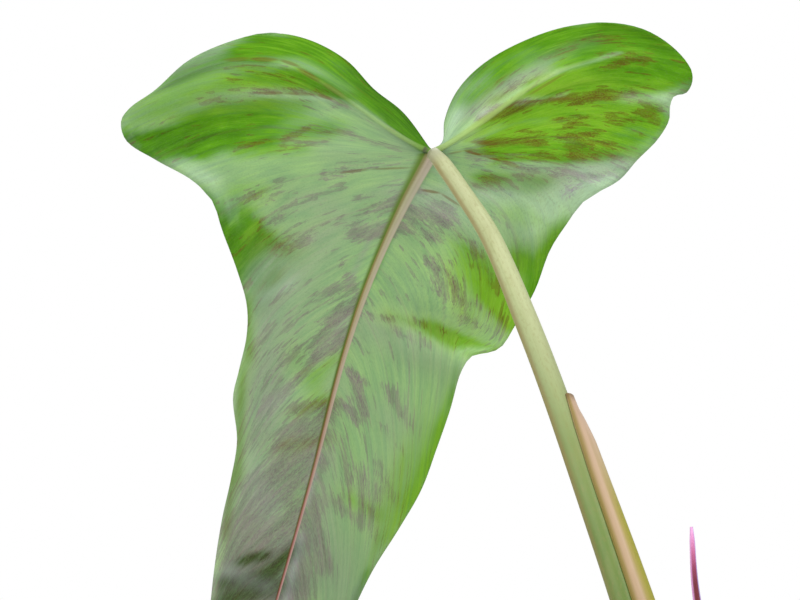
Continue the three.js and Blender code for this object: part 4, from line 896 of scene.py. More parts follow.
# Materials of a blade
def blade_under_material():
    """Underside: green tissue with brown mottling along the veins, under a pale veil that is partly waxy
    bloom and partly painted sheen, with painted shade and painted highlights.
    """
    t = Tree("blade_under")
    thin_wax_and_sheen, down = t.attribute("thin_wax_and_sheen"), t.attribute("down")
    broad = t.noise(t.uv(0.035, 0.08), 1, 3)
    cloud = t.noise(t.uv(0.09, 0.28), 1, 4, 0.6, 0.4)
    wisps = t.noise(t.uv(0.05, 0.75), 1, 4, 0.6, 0.2)
    lines = t.noise(t.uv(0.05, 3.2), 1, 2, 0.5)

    drawn = t.step(wisps, 0.26, 0.74)
    # Where the veil lies, partly waxy bloom and partly painted sheen: away from the thin-sheen strokes, with
    # ragged edges
    sway = t.plus(0.12, t.times(t.times(thin_wax_and_sheen, t.minus(1.0, thin_wax_and_sheen)), 1.5))
    exposed = t.plus(thin_wax_and_sheen, t.times(t.centred(drawn, 0.4, t.centred(cloud, 1.3)), sway))
    bloom = t.step(exposed, 0.87, -0.06)
    mask = mottle_mask(t, t.attribute("mottle"))
    side_vein = side_vein_line(t)

    # How bright the green is; its darker greens are painted shade
    tone = t.centred(drawn, 0.2, t.centred(cloud, 0.9, t.attribute("tone")))
    tissue = t.ramp(tone, (0, 54, 106, 1), (0.35, 82, 144, 8), (0.7, 117, 173, 33), (1, 138, 186, 50))
    haze = t.times(t.attribute("haze"), t.centred(drawn, 0.7, t.centred(cloud, 1.6, 0.8)), True)
    tissue = t.tint(tissue, (94, 92, 80), haze, 0.62)
    # Mottle pigment where the veil is thin, darker where the tone paints shade
    pigment_unsheened = t.mix(cloud, srgb(78, 70, 6), srgb(110, 82, 22))
    pigment_unsheened = t.tint(pigment_unsheened, (46, 46, 4), t.step(t.attribute("tone"), 0.25, 0.02))
    pigment_under_wax_and_sheen = t.mix(t.step(cloud, 0.35, 0.65), srgb(62, 60, 2), srgb(94, 80, 62))
    tissue = t.mix(mask, tissue, t.mix(bloom, pigment_unsheened, pigment_under_wax_and_sheen))
    tissue = t.tint(tissue, (30, 62, 8), t.step(lines, 0.5, 0.64), 0.14)
    tissue = t.tint(tissue, (84, 60, 34), side_vein, 0.45)

    # The pale veil, partly waxy bloom and partly painted sheen, laid on the tissue
    cover = t.times(bloom, t.centred(broad, 0.4, t.centred(cloud, 0.35, 1.04)))
    cover = t.times(cover, t.minus(1.0, t.times(down, 0.22)))
    cover = t.times(cover, t.minus(1.0, t.times(mask, 0.22)))
    waxed_and_sheened = t.mix(cover, tissue, WAX_AND_SHEEN, "ADD")
    # Whiter painted highlights
    pale = t.times(t.attribute("pale"), t.centred(drawn, 0.22, t.centred(cloud, 0.5, 0.9)))
    waxed_and_sheened = t.mix(pale, waxed_and_sheened, PAINTED_HIGHLIGHT, "ADD")
    waxed_and_sheened = t.tint(waxed_and_sheened, (58, 80, 68), down, 0.17)
    waxed_and_sheened = t.tint(waxed_and_sheened, (168, 186, 132), t.times(vein_net(t), t.plus(0.04, t.times(bloom, 0.1))))
    stipple = t.step(t.noise(t.uv(1.8, 2.4, 17), 1, 2, 0.6), 0.46, 0.7)
    waxed_and_sheened = t.tint(waxed_and_sheened, (84, 92, 60), stipple, 0.16)

    # Painted shade along the midrib's left, green at the top and browner towards the tip
    painted_rib_shade_colour = t.ramp(down, (0, 92, 120, 38), (0.3, 78, 92, 18), (0.55, 88, 66, 34), (1, 86, 58, 42))
    waxed_and_sheened = t.mix(painted_rib_shade(t), waxed_and_sheened, painted_rib_shade_colour)
    waxed_and_sheened = t.tint(waxed_and_sheened, (108, 72, 34), t.times(branch_vein_line(t), t.step(cloud, 0.2, 0.5)))
    waxed_and_sheened = t.mix(rib_band(t), waxed_and_sheened, rib_colour(t, down, lines))
    # Pale lobe ribs, partly their own paler colour and partly a painted highlight
    waxed_and_sheened = t.tint(waxed_and_sheened, (160, 190, 106), t.step(t.attribute("lobe_rib"), 0.1, 0.9), 0.75)
    waxed_and_sheened = t.tint(waxed_and_sheened, (78, 62, 72), t.step(t.attribute("joint"), 0.2, 0.8))

    fine = t.plus(t.times(lines, 0.4), t.times(wisps, 0.2))
    height = t.plus(t.times(side_vein, 0.5), fine)
    roughness = t.plus(0.44, t.times(cloud, 0.14))
    return t.finish(waxed_and_sheened, roughness, t.bump(height, 0.0002, 0.55), Specular_IOR_Level=0.07)


def blade_top_material():
    """Upper face: dark glossy green with paler veins and the same mottling, fainter."""
    t = Tree("blade_top")
    broad = t.noise(t.uv(0.035, 0.08), 1, 3)
    wisps = t.noise(t.uv(0.06, 0.8), 1, 4, 0.6, 0.2)
    lines = t.noise(t.uv(0.05, 3.2), 1, 2, 0.5)
    side_vein = side_vein_line(t)
    colour = t.mix(broad, srgb(32, 76, 22), srgb(60, 112, 36))
    colour = t.tint(colour, (30, 66, 26), wisps, 0.4)
    colour = t.tint(colour, (38, 44, 20), mottle_mask(t, t.attribute("mottle")), 0.75)
    colour = t.tint(colour, (112, 146, 78), side_vein, 0.5)
    colour = t.tint(colour, (134, 160, 92), rib_band(t))
    colour = t.tint(colour, (112, 146, 78), t.step(t.attribute("lobe_rib"), 0.4, 0.9))
    fine = t.plus(t.times(lines, 0.4), t.times(wisps, 0.2))
    height = t.minus(fine, t.times(side_vein, 0.8))
    return t.finish(colour, t.plus(0.26, t.times(wisps, 0.14)), t.bump(height, 0.0003, 0.6))


def rib_band(t):
    """1 on the midrib, 0 off it."""
    return t.step(t.math("ABSOLUTE", t.attribute("rib_offset")), 1.3, 0.9)


def painted_rib_shade(t):
    """Painted shade: the dark line along the midrib's left, softer away from the rib."""
    offset = t.attribute("rib_offset")
    return t.times(t.step(offset, -2.9, -1.3), t.times(t.step(offset, 0, -0.4), 0.92))


def rib_colour(t, down, lines):
    """The midrib from its tan top to its pink tip, with painted shade in olive brown on its left and a pale
    painted highlight on its right.
    """
    offset = t.centred(lines, 0.5, t.attribute("rib_offset"))
    colour = t.ramp(down, (0, 188, 172, 156), (0.05, 172, 170, 138), (0.2, 168, 158, 124),
                    (0.35, 166, 140, 118), (0.5, 164, 116, 110), (0.8, 152, 98, 98), (1, 150, 112, 118))
    # Painted shade down the midrib's left side
    left = t.ramp(down, (0, 122, 122, 70), (0.2, 130, 114, 60), (0.35, 118, 94, 52), (0.6, 132, 78, 70))
    colour = t.mix(t.times(t.step(offset, 0.0, -0.85), 0.9), colour, left)
    # Painted highlight down the midrib's right side
    return t.tint(colour, (206, 194, 182), t.step(offset, 0.0, 0.7), 0.35)


def mottle_mask(t, density):
    """Soft dashes and angular flecks that run with the veins, thicker where the density is high."""
    clumps = t.step(t.noise(t.uv(0.09, 0.2, 5), 1, 3, 0.6), 0.3, 0.65)
    scattered = t.times(t.step(t.noise(t.uv(0.06, 0.16, 61), 1, 3, 0.6), 0.46, 0.66), 0.25)
    near = t.times(t.highest([density, scattered]), t.plus(0.68, t.times(clumps, 0.5)))
    warp = t.node("ShaderNodeTexNoise", 1, dict(Vector=t.uv(0.4, 1.0), Scale=1.0, Detail=3.0))
    shift = t.vector("SUBTRACT", warp, (0.5, 0.5, 0.5))
    layers = []
    for scale_u, scale_v, offset, growth, strength in MOTTLE_SIZES:
        dashes = t.noise(t.vector("ADD", t.uv(scale_u, scale_v, offset), shift), 1, 5, 0.72)
        layers.append(t.times(t.step(t.plus(dashes, t.times(near, growth)), 0.675, 0.765), strength))
    cells = dict(Vector=t.uv(0.3, 1.1, 31), Scale=1.0, Smoothness=0.35)
    cell = t.node("ShaderNodeTexVoronoi", "Color", cells, feature="SMOOTH_F1")
    lot = t.node("ShaderNodeSeparateColor", 0, {0: cell})
    layers.append(t.times(t.step(t.minus(t.times(near, 0.75), lot), -0.03, 0.05), 0.7))
    depth = t.step(t.noise(t.uv(0.2, 0.7, 41), 1, 3, 0.6), 0.3, 0.65)
    total = t.times(t.highest(layers), t.plus(0.55, t.times(depth, 0.45)))
    faint = t.times(t.step(t.noise(t.uv(0.05, 0.3, 3), 1, 4, 0.65), 0.35, 0.7), near)
    grain = t.step(t.noise(t.uv(1.5, 2.3, 7), 1, 2, 0.65), 0.36, 0.6)
    return t.times(t.plus(total, t.times(faint, 0.35), True), t.plus(0.56, t.times(grain, 0.44)))


def vein_net(t):
    """The fine net between the veins."""
    warp = t.node("ShaderNodeTexNoise", 1, dict(Vector=t.uv(0.5, 1.0, 2), Scale=1.0, Detail=2.0))
    cells = dict(Vector=t.vector("ADD", t.uv(0.5, 1.3, 2), warp), Scale=1.0)
    return t.step(t.node("ShaderNodeTexVoronoi", "Distance", cells, feature="DISTANCE_TO_EDGE"), 0.1, 0.0)


def side_vein_line(t):
    """Thin lines along the side veins."""
    stray = t.centred(t.noise(t.uv(0.03, 0.03), 1, 2), 2.0)
    along = t.plus(t.node("ShaderNodeSeparateXYZ", 1, {0: t.uv(1, 1)}), stray)
    starts = LEFT_VEINS + [RIGHT_VEIN_SHIFT + start for start in RIGHT_VEINS]
    return t.highest([t.times(t.step(t.distance(along, start), 0.7, 0.1), 0.45) for start in starts])


def branch_vein_line(t):
    """Thin red-brown lines along the veins that branch off the lobe ribs, each a slender ellipse."""
    plate = t.node("ShaderNodeCombineXYZ", 0, {0: t.attribute("plate_x"), 1: t.attribute("plate_y")})
    lines = []
    for x0, y0, x1, y1, width, strength in BRANCH_VEINS:
        middle = ((x0 + x1) / 2, (y0 + y1) / 2, 0)
        turn = (0, 0, math.atan2(y1 - y0, x1 - x0))
        stretch = (0.65 * math.hypot(x1 - x0, y1 - y0), 3 * width, 1)
        placed = {0: plate, 1: middle, 2: turn, 3: stretch}
        own = t.node("ShaderNodeMapping", 0, placed, vector_type="TEXTURE")
        near = t.node("ShaderNodeTexGradient", "Fac", {0: own}, gradient_type="SPHERICAL")
        lines.append(t.times(t.step(near, 0, 0.6), strength))
    return t.highest(lines)


# Materials of the petioles, sheaths and new leaf
def petiole_material():
    """Pale green stalk, darker towards its foot, with a brown line on one side and fine striping."""
    t = Tree("petiole")
    share, around = t.attribute("length_share"), t.attribute("around")
    streak = t.noise(t.uv(0.03, 1.4), 1, 4, 0.6)
    speck = t.noise(t.uv(0.5, 2.2), 1, 3, 0.7)
    cloud = t.noise(t.uv(0.1, 0.35), 1, 3, 0.6)
    colour = t.ramp(share, (0, 84, 112, 44), (0.42, 98, 124, 54), (0.52, 112, 136, 70), (0.61, 134, 152, 92),
                    (0.7, 164, 176, 124), (0.8, 186, 194, 142), (0.97, 188, 192, 146), (1, 180, 176, 132))
    colour = t.tint(colour, (126, 134, 74), t.step(streak, 0.4, 0.75), 0.2)
    colour = t.tint(colour, (150, 150, 92), t.step(cloud, 0.45, 0.7), 0.25)
    # Painted highlight: a pale band down the front of the upper stalk
    pale = t.times(t.step(t.distance(around, 0.8), 0.16, 0.04), t.step(share, 0.6, 0.8))
    colour = t.tint(colour, (214, 218, 176), pale, 0.3)
    off_line = t.centred(streak, 0.08, t.distance(around, 0.53))
    brown = t.times(t.step(off_line, 0.1, 0.02), t.step(share, 0.35, 0.6))
    colour = t.tint(colour, (146, 118, 70), brown, 0.6)
    colour = t.tint(colour, (146, 136, 84), t.step(speck, 0.5, 0.66), 0.26)
    colour = t.tint(colour, (172, 174, 148), t.step(share, 0.972, 0.995), 0.6)
    return t.finish(colour, 0.42, t.bump(streak, 0.00015, 0.6), Specular_IOR_Level=0.3)


def sheath_material():
    """Sheath in three bands, olive brown, pinkish tan and olive yellow, with a dry brown margin and tip; the
    olive brown is partly painted shadow beside the petiole and the pinkish tan partly a painted highlight.
    """
    t = Tree("sheath")
    share, around = t.attribute("length_share"), t.attribute("around")
    streak = t.noise(t.uv(0.04, 1.6), 1, 4, 0.65)
    band = t.centred(streak, 0.012, around)
    upper = t.step(share, SHEATH_TIP_SHARE - 0.14, SHEATH_TIP_SHARE - 0.03)
    # Across the sheath: olive brown at the margin, partly painted shadow, then pinkish tan, partly a painted
    # highlight, then olive yellow
    low = t.ramp(band, (0, 134, 116, 54), (0.018, 146, 126, 62), (0.04, 184, 156, 124),
                 (0.075, 192, 164, 134), (0.105, 170, 154, 84), (0.15, 160, 156, 54),
                 (0.36, 156, 150, 60), (0.5, 134, 118, 54))
    high = t.ramp(band, (0, 140, 122, 64), (0.022, 150, 130, 76), (0.055, 190, 162, 134),
                  (0.14, 204, 176, 152), (0.4, 186, 158, 116), (0.5, 138, 120, 64))
    colour = t.mix(upper, low, high)
    colour = t.tint(colour, (150, 130, 82), t.step(streak, 0.45, 0.72), 0.25)
    tip = t.step(t.centred(streak, 0.01, share), SHEATH_TIP_SHARE - 0.012, SHEATH_TIP_SHARE)
    colour = t.tint(colour, (132, 104, 70), tip, 0.6)
    return t.finish(colour, 0.5, t.bump(streak, 0.0002, 0.7), Specular_IOR_Level=0.3)


def new_leaf_material():
    """Maroon rolled leaf, pinker towards its tip, with pale pink and lilac rolled edges."""
    t = Tree("new_leaf")
    share, around = t.attribute("length_share"), t.attribute("around")
    streak = t.noise(t.uv(0.05, 2.4), 1, 4, 0.6)
    colour = t.ramp(share, (0, 104, 92, 62), (0.25, 104, 46, 46), (0.86, 104, 34, 40), (0.91, 112, 40, 52),
                    (0.935, 144, 60, 90), (0.96, 194, 102, 146), (0.985, 228, 152, 204), (1, 240, 180, 228))
    colour = t.tint(colour, (140, 74, 84), t.times(streak, t.step(share, 0.95, 0.8)), 0.3)
    seen = t.step(share, 0.6, 0.85)
    for place, shade in ((0.53, (232, 168, 226)), (0.97, (196, 176, 238))):
        off = t.centred(streak, 0.02, t.distance(around, place))
        colour = t.tint(colour, shade, t.times(t.step(off, 0.14, 0.06), seen), 0.85)
    return t.finish(colour, 0.4, t.bump(streak, 0.00015, 0.6), Specular_IOR_Level=0.3)


def dry_sheath_material():
    """Papery brown sheath with long fibres and dark patches."""
    t = Tree("dry_sheath")
    fibre = t.noise(t.uv(0.05, 2.2), 1, 5, 0.7)
    patch = t.noise(t.uv(0.08, 0.25), 1, 3)
    colour = t.mix(fibre, srgb(112, 80, 48), srgb(186, 150, 104))
    colour = t.tint(colour, (92, 62, 38), t.step(patch, 0.45, 0.65), 0.6)
    return t.finish(colour, 0.8, t.bump(fibre, 0.0004, 0.9), Specular_IOR_Level=0.3)


# Materials of the pot, soil, stem and roots
def plain_material(name, low, high, roughness, scale):
    """A grain between two screen colours."""
    t = Tree(name)
    grain = t.noise(t.local(), scale, 5, 0.6)
    return t.finish(t.mix(grain, srgb(*low), srgb(*high)), roughness, t.bump(grain, 0.0003, 0.5))


def clay_material():
    """Unglazed clay with grain, turning lines, mineral bloom and a damp foot."""
    t = Tree("clay")
    spot = t.local()
    height = t.node("ShaderNodeSeparateXYZ", 2, {0: spot})
    grain = t.noise(spot, 1600, 4, 0.7)
    blotch = t.noise(spot, 22, 5, 0.6, 0.4)
    lines = t.noise(t.local((8, 8, 420)), 1, 3)
    speckle = t.noise(spot, 700, 2, 0.5)
    base = t.mix(blotch, srgb(162, 88, 56), srgb(200, 128, 90))
    base = t.tint(base, (208, 142, 106), lines, 0.35)
    base = t.tint(base, (120, 62, 40), t.step(speckle, 0.62, 0.72), 0.5)
    cloud = t.centred(t.noise(spot, 420, 3, 0.6), 0.16, t.noise(spot, 34, 7, 0.72))
    ends = t.plus(t.step(height, 0.085, 0.118), t.step(height, 0.03, 0.0))
    mineral = t.step(t.plus(cloud, t.times(ends, 0.1)), 0.52, 0.86)
    base = t.tint(base, (226, 206, 188), mineral, 0.6)
    damp = t.times(t.step(height, 0.05, 0.01), t.step(blotch, 0.4, 0.62))
    base = t.tint(base, (122, 66, 44), damp, 0.35)
    relief = t.plus(t.times(grain, 0.4), t.times(lines, 0.6))
    return t.finish(base, t.plus(0.78, t.times(mineral, 0.15)), t.bump(relief, 0.00025, 0.7))


def soil_material():
    """Dark loam in crumbs, with browner patches."""
    t = Tree("soil")
    crumb = t.noise(t.local(), 500, 6, 0.7)
    patch = t.noise(t.local(), 90, 4, 0.6)
    base = t.mix(crumb, srgb(34, 24, 18), srgb(92, 70, 52))
    base = t.tint(base, (58, 42, 30), t.step(patch, 0.5, 0.7), 0.5)
    return t.finish(base, 0.95, t.bump(crumb, 0.0008, 0.9))


def bark_material():
    """Bark chips, each of its own tone, with a woody grain."""
    t = Tree("bark")
    tone = t.attribute("tone")
    grain = t.noise(t.local((1, 1, 3)), 900, 5, 0.7)
    base = t.ramp(tone, (0, 62, 40, 26), (0.35, 98, 64, 40), (0.7, 132, 92, 60), (1, 84, 66, 52))
    base = t.tint(base, (46, 32, 22), grain, 0.7)
    return t.finish(base, 0.85, t.bump(grain, 0.0005, 0.8))


def stem_material():
    """Green skin between the brown rings of old leaf bases."""
    t = Tree("stem")
    height = t.times(t.attribute("length_share"), STEM_TOP - STEM_FOOT)
    turn = t.math("DIVIDE", t.plus(height, SCAR_SHIFT), SCAR_SPACING)
    from_ring = t.distance(t.math("FRACT", turn), 0.5)
    fibre = t.noise(t.uv(0.5, 1.6), 1, 4, 0.6)
    ringed = t.step(t.centred(fibre, 0.12, from_ring), 0.2, 0.06)
    skin = t.mix(fibre, srgb(96, 118, 60), srgb(138, 152, 88))
    base = t.tint(skin, (128, 100, 66), ringed, 0.85)
    return t.finish(base, 0.55, t.bump(fibre, 0.0003, 0.6))


# Pieces of the leaves
def large_leaf(materials):
    """The leaf in front, with its petiole, the sheath beside it and the new leaf that the sheath held."""
    place = eye_placer(LEAF_SINUS, plate_axes((0, 1, 0), LEAF_TILT), LEAF_EYE)
    dress(blade("leaf_blade_large", LARGE_BLADE_ROWS, place), materials["blade"], "blade", "blade_main")
    petiole = spline(PETIOLE_PATH)
    shares = np.linspace(0.01, 1, 160)
    stalk = sweep("petiole_large", petiole, shares, lambda u: ring(value_at(PETIOLE_RADII, u), 32))
    dress(stalk, materials["petiole"], "petiole", "petiole_main")
    shares = np.linspace(0.02, SHEATH_TIP_SHARE, 90)
    sheath = sweep("sheath_large", petiole, shares, lambda u: sheath_section(petiole, u))
    dress(sheath, materials["sheath"], "sheath", "sheath_main")
    shares = np.linspace(0, 1, 90)
    spike = sweep("new_leaf", spline(NEW_LEAF_PATH), shares, lambda u: ring(value_at(NEW_LEAF_RADII, u), 20))
    dress(spike, materials["new_leaf"], "new_leaf", "leaf_new")


def crescent(radius, half_angle, bulge, steps=16):
    """Section of a sheath that lies around a round stalk: thin at its two margins and full in the middle."""
    share = np.linspace(0, 1, steps + 1)
    angle = half_angle * (2 * share - 1)
    arch = np.sin(math.pi * share).clip(0)
    outer = radius + GAP + SHEATH_MARGIN + SHEATH_THICKNESS * arch**0.5 + bulge * arch**0.8
    inner = np.full_like(share, radius + GAP / 5)
    arc = [(r * math.cos(a), r * math.sin(a)) for r, a in zip(outer, angle)]
    return arc + [(r * math.cos(a), r * math.sin(a)) for r, a in zip(inner[::-1], angle[::-1])]


def sheath_section(petiole, share):
    """Section of the large leaf's sheath, by how far below its top it is."""
    below = SHEATH_TOP - petiole.at(share)[2]
    radius = value_at(PETIOLE_RADII, share)
    return crescent(radius, value_at(SHEATH_HALF_ANGLES, below), value_at(SHEATH_BULGES, below))


def older_leaf(materials, name, heading, foot, reach, height, tilt, spin, mirror, width, length, curl):
    """A smaller leaf on an arching petiole, with a dry sheath around the petiole's foot."""
    turn = math.radians(heading)
    out = np.array([math.cos(turn), math.sin(turn), 0])
    axes = plate_axes(out, math.radians(tilt), math.radians(spin))
    _, lobes, under = axes
    sinus = out * reach + (0, 0, height)
    top = sinus + under * PETIOLE_END_DEPTH
    start = out * PETIOLE_START + (0, 0, foot)
    rising = out * FIRST_HANDLE[0] + (0, 0, foot + FIRST_HANDLE[1])
    petiole = bezier(start, rising, top + under * LAST_HANDLE[0] - lobes * LAST_HANDLE[1], top)
    radii = [(u, r * (width + length) / 2) for u, r in OLDER_PETIOLE_RADII]
    place = placer(sinus, axes, width * OLDER_BLADE_TRIM, length * OLDER_BLADE_TRIM, curl, mirror)
    leaf = blade(f"leaf_blade_{name}", OLDER_BLADE_ROWS, place, mirror)
    dress(leaf, materials["blade"], "blade", f"blade_{name}")
    shares = np.linspace(0.06, 1, 80)
    stalk = sweep(f"petiole_{name}_stalk", petiole, shares, lambda u: ring(value_at(radii, u), 24), out)
    dress(stalk, materials["petiole"], "petiole", f"petiole_{name}")

    def dry_section(u):
        share = u / DRY_SHEATH_REACH
        radius = value_at(radii, u) + DRY_SHEATH_CLEARANCE + DRY_SHEATH_FLARE * share**2
        return crescent(radius, DRY_SHEATH_OPENING - DRY_SHEATH_NARROWING * share, DRY_SHEATH_BULGE)

    dry = sweep(f"dry_sheath_{name}", petiole, np.linspace(0.06, DRY_SHEATH_REACH, 40), dry_section, out)
    dress(dry, materials["dry_sheath"], "dry_sheath", f"sheath_{name}")


# Pot, soil, stem and roots
def rounded_profile(corners, radius, steps=5):
    """Corner points with each corner but the two ends turned into a short arc."""
    corners = [np.array(c, float) for c in corners]
    line = [corners[0]]
    for before, corner, after in zip(corners, corners[1:], corners[2:]):
        back, ahead = before - corner, after - corner
        reach = min(radius, 0.45 * np.linalg.norm(back), 0.45 * np.linalg.norm(ahead))
        a, b = corner + back / np.linalg.norm(back) * reach, corner + ahead / np.linalg.norm(ahead) * reach
        for t in np.linspace(0, 1, steps):
            line.append((1 - t) ** 2 * a + 2 * t * (1 - t) * corner + t**2 * b)
    return line + [corners[-1]]


def subdivided(line, longest):
    """The same line with points added so that no stretch is longer than the longest."""
    fine = [line[0]]
    for p, q in zip(line, line[1:]):
        pieces = max(math.ceil(np.linalg.norm(q - p) / longest), 1)
        fine.extend(p + (q - p) * k / pieces for k in range(1, pieces + 1))
    return fine


def lathe(name, line, sides, shift):
    """A closed body turned from a line that starts and ends on the axis, with its points shifted."""
    points, faces = [(0, 0, line[0][1])], []
    inner = line[1:-1]
    turned = [(math.cos(angle), math.sin(angle)) for angle in np.arange(sides) * 2 * math.pi / sides]
    for radius, z in inner:
        points.extend(shift(Vector((radius * x, radius * y, z))) for x, y in turned)
    points.append((0, 0, line[-1][1]))
    last = len(points) - 1
    for i in range(sides):
        j = (i + 1) % sides
        faces.append((0, 1 + j, 1 + i))
        for k in range(len(inner) - 1):
            low, high = 1 + k * sides, 1 + (k + 1) * sides
            faces.append((low + i, low + j, high + j, high + i))
        low = 1 + (len(inner) - 1) * sides
        faces.append((low + i, low + j, last))
    return make_object(name, points, faces)


def pot(material):
    """The pot's wall, floor and stepped rim, turned in one piece."""
    corners = [
        (0, 0),
        (POT_BASE_RADIUS - POT_BEVEL, 0),
        (POT_BASE_RADIUS, POT_BEVEL),
        (POT_BODY_RADIUS, POT_BODY_TOP),
        (POT_BODY_RADIUS + POT_RIM_STEP, POT_BODY_TOP + POT_SHOULDER),
        (POT_RIM_RADIUS, POT_HEIGHT - POT_LIP_HEIGHT),
        (POT_RIM_RADIUS - POT_LIP_WIDTH, POT_HEIGHT),
        (POT_RIM_RADIUS - POT_WALL + POT_BEVEL, POT_HEIGHT),
        (POT_RIM_RADIUS - POT_WALL, POT_HEIGHT - POT_BEVEL),
        (POT_BODY_RADIUS - POT_WALL, POT_BODY_TOP),
        (POT_BASE_RADIUS - POT_WALL, POT_FLOOR),
        (0, POT_FLOOR),
    ]

    def throw(p):
        """Slight unevenness of a turned wall, always inwards of the outer line."""
        radius = math.hypot(p.x, p.y)
        if radius < 1:
            return p
        lines = TURNING_LINE_DEPTH * (0.5 + 0.5 * noise.noise(Vector((0, 0, p.z * 0.9))))
        soft = WALL_WANDER * (0.5 + 0.5 * noise.noise(p * 0.03))
        share = 1 - (lines + soft) / radius
        return Vector((p.x * share, p.y * share, p.z))

    line = subdivided(rounded_profile(corners, POT_ROUNDING), 2.5)
    dress(lathe("clay_pot", line, 144, throw), material, "clay", "pot")


def pot_inner_radius(z):
    """Radius of the pot's inside at a height."""
    heights = (POT_FLOOR, POT_BODY_TOP, POT_HEIGHT - POT_BEVEL)
    radii = (POT_BASE_RADIUS - POT_WALL, POT_BODY_RADIUS - POT_WALL, POT_RIM_RADIUS - POT_WALL)
    return np.interp(z, heights, radii)


def soil_height(x, y):
    """Height of the soil: a mound at the stem and shallow hollows around it."""
    mound = SOIL_MOUND * math.exp(-(x * x + y * y) / SOIL_MOUND_RADIUS**2)
    hollows = math.sin(0.31 * x + 1) * math.cos(0.27 * y) + 0.6 * math.sin(0.19 * x - 0.43 * y)
    return SOIL_LEVEL + mound + SOIL_HOLLOWS * hollows


def soil_surface(material):
    """The soil's body with a crumbly top, a little clear of the pot's wall and floor."""
    top = pot_inner_radius(SOIL_LEVEL) - SOIL_CLEARANCE
    line = [(0, POT_FLOOR + GAP)]
    for wall_height, height in ((POT_FLOOR, POT_FLOOR + GAP), (POT_BODY_TOP, POT_BODY_TOP)):
        line.append((pot_inner_radius(wall_height) - 2 * SOIL_CLEARANCE, height))
    line += [(top * k / SOIL_RINGS, SOIL_LEVEL) for k in range(SOIL_RINGS, 0, -1)] + [(0, soil_height(0, 0))]

    def crumble(p):
        if p.z < SOIL_LEVEL:
            return p
        crumbs = CRUMB_HEIGHT * noise.fractal(p * 0.55, 1.0, 2.0, 4)
        grit = GRIT_HEIGHT * abs(noise.noise(p * 1.7))
        return Vector((p.x, p.y, soil_height(p.x, p.y) + crumbs + grit - CRUMB_SINK))

    dress(lathe("soil_surface", line, 220, crumble), material, "soil", "soil")


def lump(size, spin, place, seed, sharpness, cuts):
    """An irregular chip or grain: a box cut finer and pushed in and out."""
    body = bmesh.new()
    bmesh.ops.create_cube(body, size=1)
    bmesh.ops.subdivide_edges(body, edges=body.edges, cuts=cuts, use_grid_fill=True)
    about_x, about_y, about_z = (Matrix.Rotation(angle, 3, axis) for angle, axis in zip(spin, "XYZ"))
    turn = about_z @ about_y @ about_x
    offset = Vector((seed * 7.3, seed * 3.1, seed * 1.7))
    points = []
    for v in body.verts:
        ball = v.co.normalized() * 0.62
        p = v.co.lerp(ball, 1 - sharpness)
        p = p * (1 + 0.35 * noise.noise(p * 2.2 + offset)) + 0.1 * Vector(noise.noise_vector(p * 5 + offset))
        p = Vector((p.x * size[0], p.y * size[1], p.z * size[2]))
        points.append(turn @ p + place)
    faces = [tuple(v.index for v in f.verts) for f in body.faces]
    body.free()
    return points, faces


def join_lumps(name, lumps, smooth):
    """One mesh of many lumps, each with a tone of its own."""
    points, faces, tones = [], [], []
    for i, (own, shape) in enumerate(lumps):
        faces.extend(tuple(k + len(points) for k in f) for f in shape)
        points.extend(own)
        tones.extend([random.Random(i).random()] * len(own))
    return make_object(name, points, faces, None, {"tone": tones}, smooth)


def seeded(seed):
    """The same row of numbers as the solids' chips are placed with."""
    state = seed
    while True:
        state = (state * 1664525 + 1013904223) % 4294967296
        yield state / 4294967296


def on_soil(radius, angle, rise):
    """A place above the soil, by its radius and angle around the stem."""
    x, y = radius * math.cos(angle), radius * math.sin(angle)
    return Vector((x, y, soil_height(x, y) + rise))


def bark_chips():
    """The large chips, where the solids have them."""
    draw = seeded(CHIP_SEED)
    keep_off, keep_in = STEM_RADIUS + CHIP_MARGIN, pot_inner_radius(SOIL_LEVEL) - CHIP_MARGIN
    chips = []
    for i in range(CHIP_COUNT):
        radius = math.sqrt(keep_off**2 + next(draw) * (keep_in**2 - keep_off**2))
        angle = 2 * math.pi * next(draw)
        size = [least + spread * next(draw) for least, spread in zip(CHIP_LEAST, CHIP_SPREAD)]
        spin = [CHIP_LEAN * (next(draw) - 0.5), CHIP_LEAN * (next(draw) - 0.5), 2 * math.pi * next(draw)]
        chips.append(lump(size, spin, on_soil(radius, angle, CHIP_RISE), i, CHIP_SHARPNESS, 4))
    return chips


def grains():
    """Small bark, and every few grains a rounder pale one, as lists by kind."""
    rng = random.Random(GRAIN_SEED)
    keep_in = pot_inner_radius(SOIL_LEVEL) - CHIP_MARGIN + GRAIN_OVERREACH
    found = {kind: [] for kind in GRAIN_SHAPES}
    for i in range(GRAIN_COUNT):
        radius = math.sqrt(rng.uniform((STEM_RADIUS + GRAIN_CLEARANCE) ** 2, keep_in**2))
        angle = rng.uniform(0, 2 * math.pi)
        kind = "bark" if i % PERLITE_EVERY else "perlite"
        shortest, longest, slimmest, widest, sharpness = GRAIN_SHAPES[kind]
        long = rng.uniform(shortest, longest)
        wide = long * rng.uniform(slimmest, widest)
        size = (long, wide, wide * rng.uniform(0.5, 0.9))
        spin = [rng.uniform(-GRAIN_LEAN, GRAIN_LEAN) for _ in "xy"] + [rng.uniform(0, 2 * math.pi)]
        place = on_soil(radius, angle, rng.uniform(0.3, 1))
        found[kind].append(lump(size, spin, place, i + 99, sharpness, 2))
    return found


def bark_mix(materials):
    """Chips and grains on the soil, with the offsets of their noise seeded too."""
    noise.seed_set(CHIP_SEED)
    small = grains()
    dress(join_lumps("bark_chips", bark_chips() + small["bark"], False), materials["bark"], "soil")
    dress(join_lumps("perlite", small["perlite"], True), materials["perlite"], "soil")


def uneven(shape, amount, at):
    """How much a section's points stand out, by noise at the place that each maps to."""
    return np.array([amount * noise.noise(Vector(at(x, y))) for x, y in shape])


